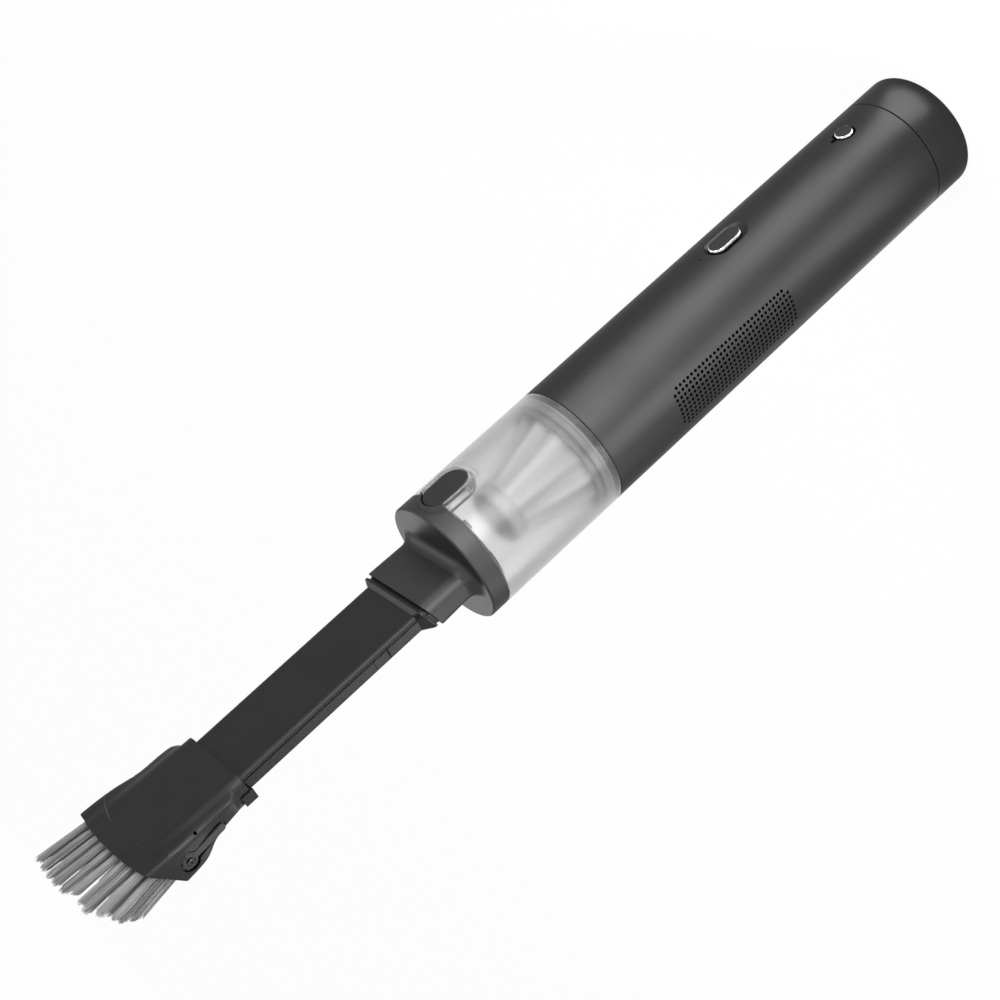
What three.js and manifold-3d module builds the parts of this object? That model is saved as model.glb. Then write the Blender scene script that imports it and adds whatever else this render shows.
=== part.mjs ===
// Handheld vacuum cleaner with a crevice tool and a sliding brush.
// Millimetres. +Z runs from the flat rear end up to the nozzle, the buttons look
// along -Y, the exhaust grilles along -X and +X. The origin is the middle of the rear face.
import * as THREE from 'three';
import { mergeVertices } from 'three/addons/utils/BufferGeometryUtils.js';
import Module from 'manifold-3d';

const wasm = await Module();
wasm.setup();

// Driving sizes of the body
const bodyRadius = 30;
const shellWall = 2;
const rearCapLength = 22.8;
const rearEdgeRadius = 4;
const faceEdgeRadius = 1;
const spigotLength = 7.6;
const spigotWall = 2;
const cupLength = 68.9;
const coverLength = 9.1;

// Clearances and modelling values
const fitGap = 0.3;
const seamGap = 0.3;
const slideGap = 0.45;
const closeGap = 0.15;
const sealGap = 0.1;
const overrun = 5;
const mergeDistance = 1e-4;
const bodySides = 40;
const partSides = 24;
const smallSides = 12;
const cornerSteps = 3;

// Battery
const cellAirGap = 7.86;
const cellLength = 65;
const cellSpacing = 0.4;
const cellPocket = 1;
const cellCount = 3;
const capFloor = 2.4;
const holderThickness = 3.6;
const holderWindowRadius = 3.5;

// Control board, tray and switch
const trayThickness = 1.7;
const trayTopDepth = 12.4;
const trayRearGap = 3;
const trayEndMargin = 8.4;
const trayFrontMargin = 6;
const boardThickness = 1.6;
const boardHalfWidth = 14;
const boardLength = 68;
const switchHalf = 3;
const switchHeight = 3.6;
const plungerRadius = 1.7;
const plungerHeight = 1.3;
const boardScrewRadius = 1.1;
const boardScrewHeadRadius = 2.2;
const boardScrewHeadHeight = 1.2;
const boardScrewInset = 5;
const boardScrewOffset = 9;

// Power button, its shallow dish and its lamp
const powerReach = 42.3;
const powerHalfLength = 9;
const powerHalfWidth = 4.4;
const powerHoleMargin = 0.9;
const powerDishMargin = 1.9;
const powerDishDepth = 1.5;
const powerProud = 0.6;
const powerFlangeThickness = 1.4;
const powerFlangeMargin = 1.9;
const powerFlangeSink = 3.6;
const trimWidth = 0.8;
const trimHeight = 0.9;
const lampReach = 15.7;
const lampRadius = 0.6;
const lampSink = 0.2;

// Charging port and its plug
const portReach = 21.4;
const plugRadius = 4.4;
const portHoleMargin = 1;
const portChamfer = 0.5;
const plugProud = 0.7;
const plugStubLength = 3.6;
const plugStubHalfWidth = 3.9;
const plugStubHalfHeight = 1.1;
const plugSlotClearance = 0.4;
const socketFlangeMargin = 1.1;
const socketFlangeThickness = 2;
const socketFlangeSink = 3.1;
const socketBarrelMargin = 0.5;
const socketDepth = 8;
const slotDepth = 6;
const chargeBoardThickness = 1.6;
const chargeBoardHalfWidth = 7;
const chargeBoardHalfLength = 11;
const nailNotchLength = 3.2;
const nailNotchHalfWidth = 1.1;
const nailNotchDepth = 1.3;

// Motor and fan
const motorReach = 10;
const canAirGap = 10.2;
const canWall = 1.5;
const canLength = 38;
const endBellThickness = 3;
const mountThickness = 4;
const mountWindows = 6;
const mountWindowMargin = 1.7;
const bearingRadius = 6.5;
const shaftRadius = 2;
const rotorGap = 1.5;
const rotorMargin = 4;
const shroudLength = 19.5;
const shroudWall = 1.6;
const shroudGap = 0.5;
const intakeRadius = 11;
const impellerGap = 2.6;
const impellerDisc = 1.6;
const impellerHubWall = 3;
const impellerHeight = 11;
const impellerBlades = 8;
const impellerBladeThickness = 1;
const impellerRise = 3;
const impellerSweepDegrees = 30;
const impellerRootSink = 1;
const leadRadius = 0.8;
const leadOffset = 5;
const leadSteps = 14;

// Exhaust grilles
const grilleReach = 41;
const grilleLength = 71;
const grilleColumns = 11;
const grilleRows = 4;
const grilleArcDegrees = 36;
const grilleHole = 2.2;
const filterPadThickness = 2;
const filterPadMargin = 4;

// Dust cup and the filter inside it
const cupWall = 1.8;
const cupSpigotLength = 8.5;
const cupSpigotWall = 1.7;
const sealHeight = 1.6;
const sealInset = 4;
const sealWidth = 0.7;
const filterBandLength = 6.2;
const filterBandWidth = 7.7;
const filterRearGap = 4;
const filterLength = 33.8;
const filterCapGap = 14.2;
const filterLip = 0.2;
const filterCapLength = 8.6;
const filterCapRound = 2.4;
const filterPleats = 12;
const pleatDepth = 1.8;
const pleatWall = 1;

// Release button and its raised pocket
const releaseReach = 7.4;
const releaseHalfLength = 11.15;
const releaseHalfWidth = 6.8;
const releaseProud = 1.2;
const releaseThickness = 3;
const bossTopProud = 1.5;
const bossTopMargin = 1;
const bossBaseMargin = 4;
const bossBaseDrop = 2.4;
const pocketWall = 1.2;
const pocketFloor = 1;
const pocketDepth = 5.3;

// Front cover and its spout
const spoutSide = 8;
const spoutHalfHeight = 7.7;
const spoutFlare = 0.35;
const spoutCorner = 3;
const spoutWall = 1.6;
const spoutLength = 22.6;
const spoutSlope = 0.3;
const spoutFillet = 5.5;
const filletSteps = 4;
const coverPlate = 2.2;

// Crevice tool
const mouthGap = 1.5;
const plugInsertLength = 16;
const toolWall = 1.3;
const flangeMargin = 1.25;
const flangeBand = 0.9;
const flangeLength = 6.3;
const flangeNeckMargin = 1.3;
const tubeSideStep = 4.4;
const tubeTopStep = 3.2;
const tubeCorner = 1.5;
const tubeWall = 1.2;
const tubeLength = 131.6;
const tubeEndSlope = 0.5;
const grooveDepth = 0.4;
const grooveHeight = 0.6;
const grooveBelowTop = 1.4;
const notchReach = 21.1;
const notchLength = 8;
const notchDepth = 0.7;

// Brush head
const collarOverlap = 35.2;
const collarLength = 44.2;
const collarSideWall = 3.4;
const collarTopWall = 2.5;
const collarCorner = 2.6;
const collarBoreLength = 8;
const capStep = 5.2;
const capLength = 42.2;
const capWall = 1.25;
const capCorner = 5;
const capRearSideMargin = 5.2;
const capRearTopMargin = 0.9;
const capMouthSideMargin = 9.5;
const capMouthTopMargin = 4.7;
const capMouthSlope = 0.7;
const capSweep = 2;
const capSectionShares = [
  { along: 0, side: 0, top: 0 },
  { along: 0.18, side: 0.33, top: 0.16 },
  { along: 0.4, side: 0.56, top: 0.34 },
  { along: 0.6, side: 0.79, top: 0.58 },
  { along: 0.7, side: 0.98, top: 0.79 },
  { along: 1, side: 1, top: 1 },
];

// Bristles
const bristleLength = 27;
const bristleTipSlope = 0.85;
const bristleTipSweep = 5;
const bristleRagged = 1.6;
const backingBelowMouth = 4.5;
const backingThickness = 2;
const bristleRoot = 0.8;
const strandRadius = 0.24;
const strandTipShare = 0.55;
const strandSides = 3;
const strandsPerTuft = 11;
const tuftRadius = 1;
const tuftSpreadShare = 0.5;
const headSpreadShare = 0.1;
const rowTufts = 9;
const rowEndMargin = 0.45;
const rowSinkFromMouth = 0.8;
const sideColumns = 2;
const sideColumnPitch = 3.1;
const sideRows = 3;
const sideEndMargin = 1.65;

// Detent tongue on the brush head
const tongueRootReach = 12.2;
const tongueLength = 19;
const tongueRootHeight = -2.6;
const tongueTipHeight = -1.3;
const tongueHalfWidth = 1.35;
const tongueThickness = 1.5;
const tongueBossRadius = 3.3;
const tongueSlotGap = 0.65;
const tongueSink = 0.7;
const tongueScrewRadius = 1;
const tongueScrewHead = 2.2;
const tongueScrewHeadHeight = 0.9;
const tongueScrewLength = 6;
const pillarRadius = 2.9;
const pinClearance = 0.35;
const ribSinkFromMouth = 2.2;

// Worked out from the sizes above
const bore = bodyRadius - shellWall;
const innerFit = bore - fitGap;
const cupBore = bodyRadius - cupWall;
const rearSeamZ = rearCapLength;
const portZ = rearSeamZ + portReach;
const portHoleRadius = plugRadius + portHoleMargin;
const socketFlangeRadius = portHoleRadius + socketFlangeMargin;
const socketRadius = plugStubHalfWidth + plugSlotClearance + socketBarrelMargin;
const cellRadius = (innerFit - cellAirGap - cellSpacing / Math.sqrt(3)) / (1 + 2 / Math.sqrt(3));
const cellCentre = (2 * cellRadius + cellSpacing) / Math.sqrt(3);
const cellRearZ = capFloor + holderThickness - cellPocket;
const cellFrontZ = cellRearZ + cellLength;
const holderFrontZ = cellFrontZ - cellPocket + holderThickness;
const trayY = -bodyRadius + trayTopDepth;
const boardY = trayY - boardThickness;
const trayRearZ = holderFrontZ + trayRearGap;
const boardRearZ = trayRearZ + trayEndMargin;
const boardFrontZ = boardRearZ + boardLength;
const trayFrontZ = boardFrontZ + trayFrontMargin;
const powerZ = boardRearZ + powerReach;
const lampZ = powerZ + lampReach;
const canRadius = innerFit - canAirGap;
const canRearZ = trayFrontZ + motorReach;
const canFrontZ = canRearZ + canLength;
const rotorRadius = canRadius - canWall - rotorGap;
const shroudRearZ = canFrontZ + mountThickness;
const shroudFrontZ = shroudRearZ + shroudLength;
const impellerRadius = innerFit - shroudWall - impellerGap;
const impellerHubRadius = shaftRadius + impellerHubWall;
const cupSeamZ = shroudFrontZ + shroudGap + cupSpigotLength;
const grilleFrontZ = cupSeamZ - grilleReach;
const grilleRearZ = grilleFrontZ - grilleLength;
const coverSeamZ = cupSeamZ + cupLength;
const coverFaceZ = coverSeamZ + coverLength;
const releaseZ = coverSeamZ - releaseReach;
const pocketHalfLength = releaseHalfLength + slideGap;
const pocketHalfWidth = releaseHalfWidth + slideGap;
const filterRearZ = cupSeamZ + filterBandLength + cupWall / 2;
const filterFrontZ = filterRearZ + filterLength;
const filterRearRadius = cupBore - filterRearGap;
const filterCapRadius = cupBore - filterCapGap;
const filterFrontRadius = filterCapRadius + filterLip;
const spoutHalfWidth = bodyRadius - spoutSide;
const spoutMouthZ = coverFaceZ + spoutLength;
const spoutBoreHalfWidth = spoutHalfWidth - spoutWall;
const spoutBoreHalfHeight = spoutHalfHeight - spoutWall;
const plugHalfWidth = spoutBoreHalfWidth - fitGap;
const plugHalfHeight = spoutBoreHalfHeight - fitGap;
const flangeEndZ = spoutMouthZ + flangeLength;
const tubeHalfWidth = spoutHalfWidth - tubeSideStep;
const tubeHalfHeight = spoutHalfHeight - tubeTopStep;
const tubeEndZ = flangeEndZ + tubeLength;
const notchZ = flangeEndZ + notchReach;
const collarRearZ = tubeEndZ - collarOverlap;
const collarFrontZ = collarRearZ + collarLength;
const collarHalfWidth = tubeHalfWidth + collarSideWall;
const collarHalfHeight = tubeHalfHeight + collarTopWall;
const capRearZ = collarRearZ + capStep;
const capMouthZ = capRearZ + capLength;
const capRearHalfWidth = tubeHalfWidth + capRearSideMargin;
const capRearHalfHeight = tubeHalfHeight + capRearTopMargin;
const capMouthHalfWidth = tubeHalfWidth + capMouthSideMargin;
const capMouthHalfHeight = tubeHalfHeight + capMouthTopMargin;
const bristleTipZ = capMouthZ + bristleLength;
const tongueRootZ = capMouthZ - tongueRootReach;
const tongueTipZ = tongueRootZ - tongueLength;
const tongueFace = capMouthHalfWidth - tongueSink;

// Solids

function toSolid(geometry) {
  const bare = geometry.index ? geometry.toNonIndexed() : geometry.clone();
  bare.deleteAttribute('normal');
  bare.deleteAttribute('uv');
  const merged = mergeVertices(bare, mergeDistance);
  const points = new Float32Array(merged.attributes.position.array);
  const corners = new Uint32Array(merged.index.array);
  if (signedVolume(points, corners) < 0) {
    for (let i = 0; i < corners.length; i += 3) {
      const first = corners[i];
      corners[i] = corners[i + 1];
      corners[i + 1] = first;
    }
  }
  return new wasm.Manifold(new wasm.Mesh({ numProp: 3, vertProperties: points, triVerts: corners }));
}

function signedVolume(points, corners) {
  const a = new THREE.Vector3();
  const b = new THREE.Vector3();
  const c = new THREE.Vector3();
  let sum = 0;
  for (let i = 0; i < corners.length; i += 3) {
    a.fromArray(points, 3 * corners[i]);
    b.fromArray(points, 3 * corners[i + 1]);
    c.fromArray(points, 3 * corners[i + 2]);
    sum += a.dot(b.cross(c));
  }
  return sum;
}

function toGeometry(solid) {
  const mesh = solid.getMesh();
  const geometry = new THREE.BufferGeometry();
  geometry.setAttribute('position', new THREE.BufferAttribute(new Float32Array(mesh.vertProperties), 3));
  geometry.setIndex(new THREE.BufferAttribute(new Uint32Array(mesh.triVerts), 1));
  return geometry;
}

function join(solids) {
  return solids.reduce((sum, solid) => sum.add(solid));
}

function cut(solid, cutters) {
  return cutters.reduce((rest, cutter) => rest.subtract(cutter), solid);
}

// Outlines

function stadium(halfLength, halfWidth) {
  const shape = new THREE.Shape();
  const run = halfLength - halfWidth;
  shape.absarc(0, run, halfWidth, 0, Math.PI);
  shape.absarc(0, -run, halfWidth, Math.PI, 2 * Math.PI);
  shape.closePath();
  return shape;
}

function roundedRing(halfWidth, halfHeight, corner, steps = cornerSteps) {
  const points = [];
  const centres = [[1, 1, 0], [-1, 1, 1], [-1, -1, 2], [1, -1, 3]];
  for (const [sideX, sideY, quarter] of centres) {
    for (let i = 0; i <= steps; i += 1) {
      const turn = (quarter + i / steps) * Math.PI / 2;
      const x = sideX * (halfWidth - corner) + corner * Math.cos(turn);
      const y = sideY * (halfHeight - corner) + corner * Math.sin(turn);
      points.push(new THREE.Vector2(x, y));
    }
  }
  return points;
}

// A turned piece: the outline is a closed list of [radius, height] pairs
function turned(outline, sides = bodySides) {
  const points = outline.map(([radius, height]) => new THREE.Vector2(radius, height));
  if (outline[0][0] !== 0 || outline[outline.length - 1][0] !== 0) {
    points.push(points[0].clone());
  }
  const geometry = new THREE.LatheGeometry(points, sides);
  geometry.rotateX(Math.PI / 2);
  return toSolid(geometry);
}

function disc(radius, lowZ, highZ, sides = partSides) {
  return turned([[0, lowZ], [radius, lowZ], [radius, highZ], [0, highZ]], sides);
}

function ring(innerRadius, outerRadius, lowZ, highZ, sides = partSides) {
  return turned([
    [innerRadius, lowZ],
    [outerRadius, lowZ],
    [outerRadius, highZ],
    [innerRadius, highZ],
  ], sides);
}

function block(lowX, highX, lowY, highY, lowZ, highZ) {
  const geometry = new THREE.BoxGeometry(highX - lowX, highY - lowY, highZ - lowZ);
  geometry.translate((lowX + highX) / 2, (lowY + highY) / 2, (lowZ + highZ) / 2);
  return toSolid(geometry);
}

// A solid through rings of equal count, each ring a list of 3-D points
function loft(rings) {
  const count = rings[0].length;
  const points = rings.flat();
  const corners = [];
  for (let level = 0; level < rings.length - 1; level += 1) {
    for (let i = 0; i < count; i += 1) {
      const here = level * count + i;
      const next = level * count + (i + 1) % count;
      corners.push(here, next, next + count, here, next + count, here + count);
    }
  }
  const lid = THREE.ShapeUtils.triangulateShape(rings[0].map((p) => new THREE.Vector2(p.x, p.y)), []);
  const last = (rings.length - 1) * count;
  for (const [a, b, c] of lid) {
    corners.push(a, c, b, last + a, last + b, last + c);
  }
  const geometry = new THREE.BufferGeometry().setFromPoints(points);
  geometry.setIndex(corners);
  return toSolid(geometry);
}

// A ring of points in a plane that may slope along Y and sweep back towards its ends
function flatRing(outline, z, slope = 0, sweep = 0, sweepHalf = bodyRadius) {
  return outline.map((p) => {
    const height = z - slope * p.y - sweep * (p.x / sweepHalf) ** 2;
    return new THREE.Vector3(p.x, p.y, height);
  });
}

function prismZ(outline, lowZ, highZ) {
  return loft([flatRing(outline, lowZ), flatRing(outline, highZ)]);
}

// Levels of [outline, depth] stacked along -Y: outline x stays x, outline y becomes z
function stackTowardsFront(levels, centreZ) {
  const rings = levels.map(([outline, depth]) => outline.map((p) => new THREE.Vector3(p.x, p.y, depth)));
  const solid = loft(rings);
  const geometry = toGeometry(solid);
  geometry.rotateX(Math.PI / 2);
  geometry.translate(0, 0, centreZ);
  return toSolid(geometry);
}

function stadiumPoints(halfLength, halfWidth) {
  return stadium(halfLength, halfWidth).getPoints(smallSides / 2).slice(0, -1);
}

function roundPoints(radius, sides = smallSides) {
  return Array.from({ length: sides }, (unused, i) => {
    const turn = 2 * Math.PI * i / sides;
    return new THREE.Vector2(radius * Math.cos(turn), radius * Math.sin(turn));
  });
}

function peg(radius, lowDepth, highDepth, x, z, sides = smallSides) {
  const outline = roundPoints(radius, sides).map((p) => new THREE.Vector2(p.x + x, p.y));
  return stackTowardsFront([[outline, lowDepth], [outline, highDepth]], z);
}

// Materials

function material(colour, roughness, metalness = 0, opacity = 1) {
  return new THREE.MeshStandardMaterial({
    color: colour, roughness, metalness, opacity, transparent: opacity < 1,
  });
}

const graphitePaint = material(0x505256, 0.38, 0.35);
const blackPlastic = material(0x323336, 0.5);
const buttonPlastic = material(0x3a3b3e, 0.35);
const brightTrim = material(0xd8dadd, 0.15, 1);
const frostedClear = material(0xe4e8ea, 0.45, 0, 0.5);
const filterWhite = material(0xd9dadb, 0.9);
const filterFrame = material(0xa9acae, 0.6);
const sealRubber = material(0x26272a, 0.85);
const bristleGrey = material(0x9a9b9c, 0.7);
const boardGreen = material(0x1f5a3a, 0.55);
const steel = material(0xb7babd, 0.3, 1);
const cellWrap = material(0x3c78a8, 0.45);
const holderPlastic = material(0xe2ded2, 0.6);
const whitePlastic = material(0xe8e8e6, 0.5);
const redWire = material(0xb02a24, 0.5);
const blackWire = material(0x1c1c1e, 0.5);
const foam = material(0x2c2d2f, 0.95);

const vacuum = new THREE.Group();

function add(name, solid, finish) {
  const geometry = toGeometry(solid);
  const facets = geometry.toNonIndexed();
  facets.computeVertexNormals();
  const mesh = new THREE.Mesh(facets, finish);
  mesh.name = name;
  vacuum.add(mesh);
}

// Housing

function grilleCutters() {
  const cutters = [];
  const columnPitch = (grilleFrontZ - grilleRearZ) / (grilleColumns - 1);
  const rowPitchDegrees = grilleArcDegrees / (grilleRows - 1);
  for (const side of [0, Math.PI]) {
    for (let row = 0; row < grilleRows; row += 1) {
      const turn = side + THREE.MathUtils.degToRad(-grilleArcDegrees / 2 + row * rowPitchDegrees);
      for (let column = 0; column < grilleColumns; column += 1) {
        const endColumn = column === 0 || column === grilleColumns - 1;
        const endRow = row === 0 || row === grilleRows - 1;
        if (endColumn && endRow) {
          continue;
        }
        const hole = new THREE.BoxGeometry(2 * shellWall + fitGap, grilleHole, grilleHole);
        hole.rotateX(Math.PI / 4);
        hole.translate(bodyRadius - shellWall / 2, 0, grilleRearZ + column * columnPitch);
        hole.rotateZ(turn);
        cutters.push(toSolid(hole));
      }
    }
  }
  return cutters;
}

function powerDish() {
  const hole = stadiumPoints(powerHalfLength + powerHoleMargin, powerHalfWidth + powerHoleMargin);
  const rim = stadiumPoints(powerHalfLength + powerHoleMargin + powerDishMargin,
    powerHalfWidth + powerHoleMargin + powerDishMargin);
  return stackTowardsFront([
    [hole, bore - overrun],
    [hole, bodyRadius - powerDishDepth],
    [rim, bodyRadius],
    [rim, bodyRadius + overrun],
  ], powerZ);
}

function portHole() {
  const chamfered = stackTowardsFront([
    [roundPoints(portHoleRadius), bore - overrun],
    [roundPoints(portHoleRadius), bodyRadius - portChamfer],
    [roundPoints(portHoleRadius + 2 * portChamfer), bodyRadius + portChamfer],
  ], portZ);
  const notchEnd = portZ + portHoleRadius + nailNotchLength;
  const notch = block(-nailNotchHalfWidth, nailNotchHalfWidth, -bodyRadius - overrun,
    -bodyRadius + nailNotchDepth, portZ, notchEnd);
  return chamfered.add(notch);
}

function mainHousing() {
  const tube = ring(bore, bodyRadius, rearSeamZ, cupSeamZ, bodySides);
  const lampHole = peg(lampRadius + fitGap, bore - overrun, bodyRadius + overrun, 0, lampZ, smallSides / 2);
  return cut(tube, [powerDish(), portHole(), lampHole, ...grilleCutters()]);
}

function rearCap() {
  const innerRadius = innerFit - spigotWall;
  const edge = [];
  for (let i = 0; i <= cornerSteps; i += 1) {
    const turn = -Math.PI / 2 + i / cornerSteps * Math.PI / 2;
    edge.push([bodyRadius - rearEdgeRadius + rearEdgeRadius * Math.cos(turn),
      rearEdgeRadius + rearEdgeRadius * Math.sin(turn)]);
  }
  return turned([
    [0, 0],
    ...edge,
    [bodyRadius, rearSeamZ - seamGap],
    [innerFit, rearSeamZ - seamGap],
    [innerFit, rearSeamZ + spigotLength],
    [innerRadius, rearSeamZ + spigotLength],
    [innerRadius, capFloor + shellWall],
    [innerRadius - shellWall, capFloor],
    [0, capFloor],
  ]);
}

// Battery

function cellPlace(index) {
  const turn = Math.PI / 2 + index * 2 * Math.PI / cellCount;
  return new THREE.Vector2(cellCentre * Math.cos(turn), cellCentre * Math.sin(turn));
}

function cellSolid(index, radius, lowZ, highZ) {
  const place = cellPlace(index);
  return disc(radius, lowZ, highZ, smallSides).translate(place.x, place.y, 0);
}

function batteryHolder(radius, lowZ, highZ, pocketLowZ, pocketHighZ) {
  const pockets = Array.from({ length: cellCount }, (unused, i) =>
    cellSolid(i, cellRadius + fitGap, pocketLowZ, pocketHighZ));
  const window = disc(holderWindowRadius, lowZ - overrun, highZ + overrun, smallSides / 2);
  return cut(disc(radius, lowZ, highZ), [...pockets, window]);
}

// Electronics

function boardTray() {
  const plate = block(-bodyRadius, bodyRadius, trayY, trayY + trayThickness, trayRearZ, trayFrontZ);
  const screwHoles = boardScrewPlaces().map(([x, z]) => peg(boardScrewRadius + fitGap,
    -trayY - trayThickness - overrun, -trayY + overrun, x, z, smallSides / 2));
  return cut(plate.intersect(disc(innerFit, 0, cupSeamZ, bodySides)), screwHoles);
}

function boardScrewPlaces() {
  return [
    [boardScrewOffset, boardRearZ + boardScrewInset],
    [-boardScrewOffset, boardFrontZ - boardScrewInset],
  ];
}

function controlBoard() {
  const plate = block(-boardHalfWidth, boardHalfWidth, boardY, trayY, boardRearZ, boardFrontZ);
  const holes = boardScrewPlaces().map(([x, z]) => peg(boardScrewRadius + fitGap,
    -trayY - overrun, -boardY + overrun, x, z, smallSides / 2));
  return cut(plate, holes);
}

function boardScrew([x, z]) {
  const shank = peg(boardScrewRadius, -trayY - trayThickness - boardThickness, -boardY + closeGap, x, z,
    smallSides / 2);
  const head = peg(boardScrewHeadRadius, -boardY, -boardY + boardScrewHeadHeight, x, z, smallSides / 2);
  return shank.add(head);
}

function powerSwitch() {
  const body = block(-switchHalf, switchHalf, boardY - switchHeight, boardY,
    powerZ - switchHalf, powerZ + switchHalf);
  const plunger = peg(plungerRadius, -boardY + switchHeight / 2, -boardY + switchHeight + plungerHeight,
    0, powerZ, smallSides / 2);
  return body.add(plunger);
}

function chargeSocket() {
  const flangeTop = bodyRadius - socketFlangeSink;
  const flangeLow = flangeTop - socketFlangeThickness;
  const flange = peg(socketFlangeRadius, flangeLow, flangeTop, 0, portZ);
  const barrel = peg(socketRadius, flangeTop - socketDepth, flangeTop - socketFlangeThickness / 2, 0, portZ);
  const slotWide = plugStubHalfWidth + plugSlotClearance;
  const slotHigh = plugStubHalfHeight + plugSlotClearance;
  const slot = block(-slotWide, slotWide, -flangeTop - overrun, -flangeTop + slotDepth,
    portZ - slotHigh, portZ + slotHigh);
  return cut(flange.add(barrel), [slot]);
}

function chargeBoard() {
  const top = -bodyRadius + socketFlangeSink + socketDepth;
  return block(-chargeBoardHalfWidth, chargeBoardHalfWidth, top, top + chargeBoardThickness,
    portZ - chargeBoardHalfLength, portZ + chargeBoardHalfLength);
}

function motorLead(side) {
  const path = new THREE.CatmullRomCurve3([
    new THREE.Vector3(side * leadOffset, boardY - leadRadius - fitGap, boardFrontZ - boardScrewInset),
    new THREE.Vector3(side * leadOffset, boardY - leadRadius - fitGap, boardFrontZ),
    new THREE.Vector3(side * leadOffset, boardY, trayFrontZ),
    new THREE.Vector3(side * leadOffset, -canRadius / 2, canRearZ - endBellThickness - 3 * leadRadius),
    new THREE.Vector3(side * leadOffset, -canRadius / 2, canRearZ - endBellThickness - fitGap),
  ]);
  const outline = new THREE.Shape(roundPoints(leadRadius, smallSides / 2));
  return toSolid(new THREE.ExtrudeGeometry(outline, { steps: leadSteps, extrudePath: path }));
}

// Motor and fan

function motorCan() {
  return turned([
    [canRadius - canWall, canRearZ],
    [canRadius, canRearZ],
    [canRadius, canFrontZ],
    [shaftRadius + fitGap, canFrontZ],
    [shaftRadius + fitGap, canFrontZ - canWall],
    [canRadius - canWall, canFrontZ - canWall],
  ], partSides);
}

function motorMount() {
  const plate = ring(bearingRadius + fitGap, innerFit, canFrontZ, canFrontZ + mountThickness);
  const windowRing = (canRadius + innerFit) / 2;
  const windowRadius = (innerFit - canRadius) / 2 - mountWindowMargin;
  const windows = Array.from({ length: mountWindows }, (unused, i) => {
    const turn = 2 * Math.PI * i / mountWindows;
    return disc(windowRadius, canFrontZ - overrun, canFrontZ + mountThickness + overrun, smallSides / 2)
      .translate(windowRing * Math.cos(turn), windowRing * Math.sin(turn), 0);
  });
  return cut(plate, windows);
}

function fanShroud() {
  return turned([
    [innerFit - shroudWall, shroudRearZ],
    [innerFit, shroudRearZ],
    [innerFit, shroudFrontZ],
    [intakeRadius, shroudFrontZ],
    [intakeRadius, shroudFrontZ - shroudWall],
    [innerFit - shroudWall, shroudFrontZ - shroudWall],
  ], partSides);
}

function impellerFan() {
  const lowZ = shroudRearZ + impellerRise;
  const hub = ring(shaftRadius + fitGap, impellerHubRadius, lowZ, lowZ + impellerHeight, smallSides);
  const plate = ring(shaftRadius + fitGap, impellerRadius, lowZ, lowZ + impellerDisc);
  const blades = Array.from({ length: impellerBlades }, (unused, i) => {
    const blade = new THREE.BoxGeometry(impellerRadius - impellerHubRadius, impellerBladeThickness,
      impellerHeight - impellerDisc / 2);
    blade.translate((impellerRadius - impellerHubRadius) / 2, 0, 0);
    blade.rotateZ(THREE.MathUtils.degToRad(impellerSweepDegrees));
    blade.translate(impellerHubRadius - impellerRootSink, 0,
      lowZ + impellerDisc / 2 + (impellerHeight - impellerDisc / 2) / 2);
    blade.rotateZ(2 * Math.PI * i / impellerBlades);
    return toSolid(blade);
  });
  const rim = disc(impellerRadius, lowZ - overrun, lowZ + impellerHeight + overrun);
  return join([hub, plate, ...blades]).intersect(rim);
}

function exhaustPad(side) {
  const halfArc = THREE.MathUtils.degToRad(grilleArcDegrees / 2);
  const halfChord = bore * Math.sin(halfArc) + filterPadMargin / 2;
  const shell = ring(innerFit - filterPadThickness, innerFit, grilleRearZ - filterPadMargin,
    grilleFrontZ + filterPadMargin, bodySides);
  const window = side < 0
    ? block(-bodyRadius, 0, -halfChord, halfChord, 0, cupSeamZ)
    : block(0, bodyRadius, -halfChord, halfChord, 0, cupSeamZ);
  return shell.intersect(window);
}

// Buttons

function powerButton() {
  const top = bodyRadius + powerProud;
  const flangeLow = bodyRadius - powerFlangeSink - powerFlangeThickness;
  const flange = stadiumPoints(powerHalfLength + powerFlangeMargin, powerHalfWidth + powerFlangeMargin);
  const core = stadiumPoints(powerHalfLength, powerHalfWidth);
  const face = stadiumPoints(powerHalfLength - trimWidth - fitGap, powerHalfWidth - trimWidth - fitGap);
  const lower = stackTowardsFront([[flange, flangeLow], [flange, flangeLow + powerFlangeThickness]], powerZ);
  const middle = stackTowardsFront([[core, flangeLow], [core, top - trimHeight]], powerZ);
  const upper = stackTowardsFront([[face, flangeLow], [face, top]], powerZ);
  return join([lower, middle, upper]);
}

function powerTrim() {
  const top = bodyRadius + powerProud;
  const outer = stadiumPoints(powerHalfLength, powerHalfWidth);
  const inner = stadiumPoints(powerHalfLength - trimWidth, powerHalfWidth - trimWidth);
  const body = stackTowardsFront([[outer, top - trimHeight], [outer, top]], powerZ);
  const opening = stackTowardsFront([[inner, top - trimHeight - overrun], [inner, top + overrun]], powerZ);
  return body.subtract(opening);
}

function chargePlug() {
  const top = bodyRadius + plugProud;
  const seat = bodyRadius - socketFlangeSink + fitGap;
  const lower = peg(plugRadius, seat, top - trimHeight, 0, portZ);
  const upper = peg(plugRadius - trimWidth - fitGap, seat, top, 0, portZ);
  const stub = block(-plugStubHalfWidth, plugStubHalfWidth, -seat - trimHeight, -seat + plugStubLength,
    portZ - plugStubHalfHeight, portZ + plugStubHalfHeight);
  return join([lower, upper, stub]);
}

function plugTrim() {
  const top = bodyRadius + plugProud;
  const body = peg(plugRadius, top - trimHeight, top, 0, portZ);
  return cut(body, [peg(plugRadius - trimWidth, top - trimHeight - overrun, top + overrun, 0, portZ)]);
}

// Dust cup, filter and seal

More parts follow.
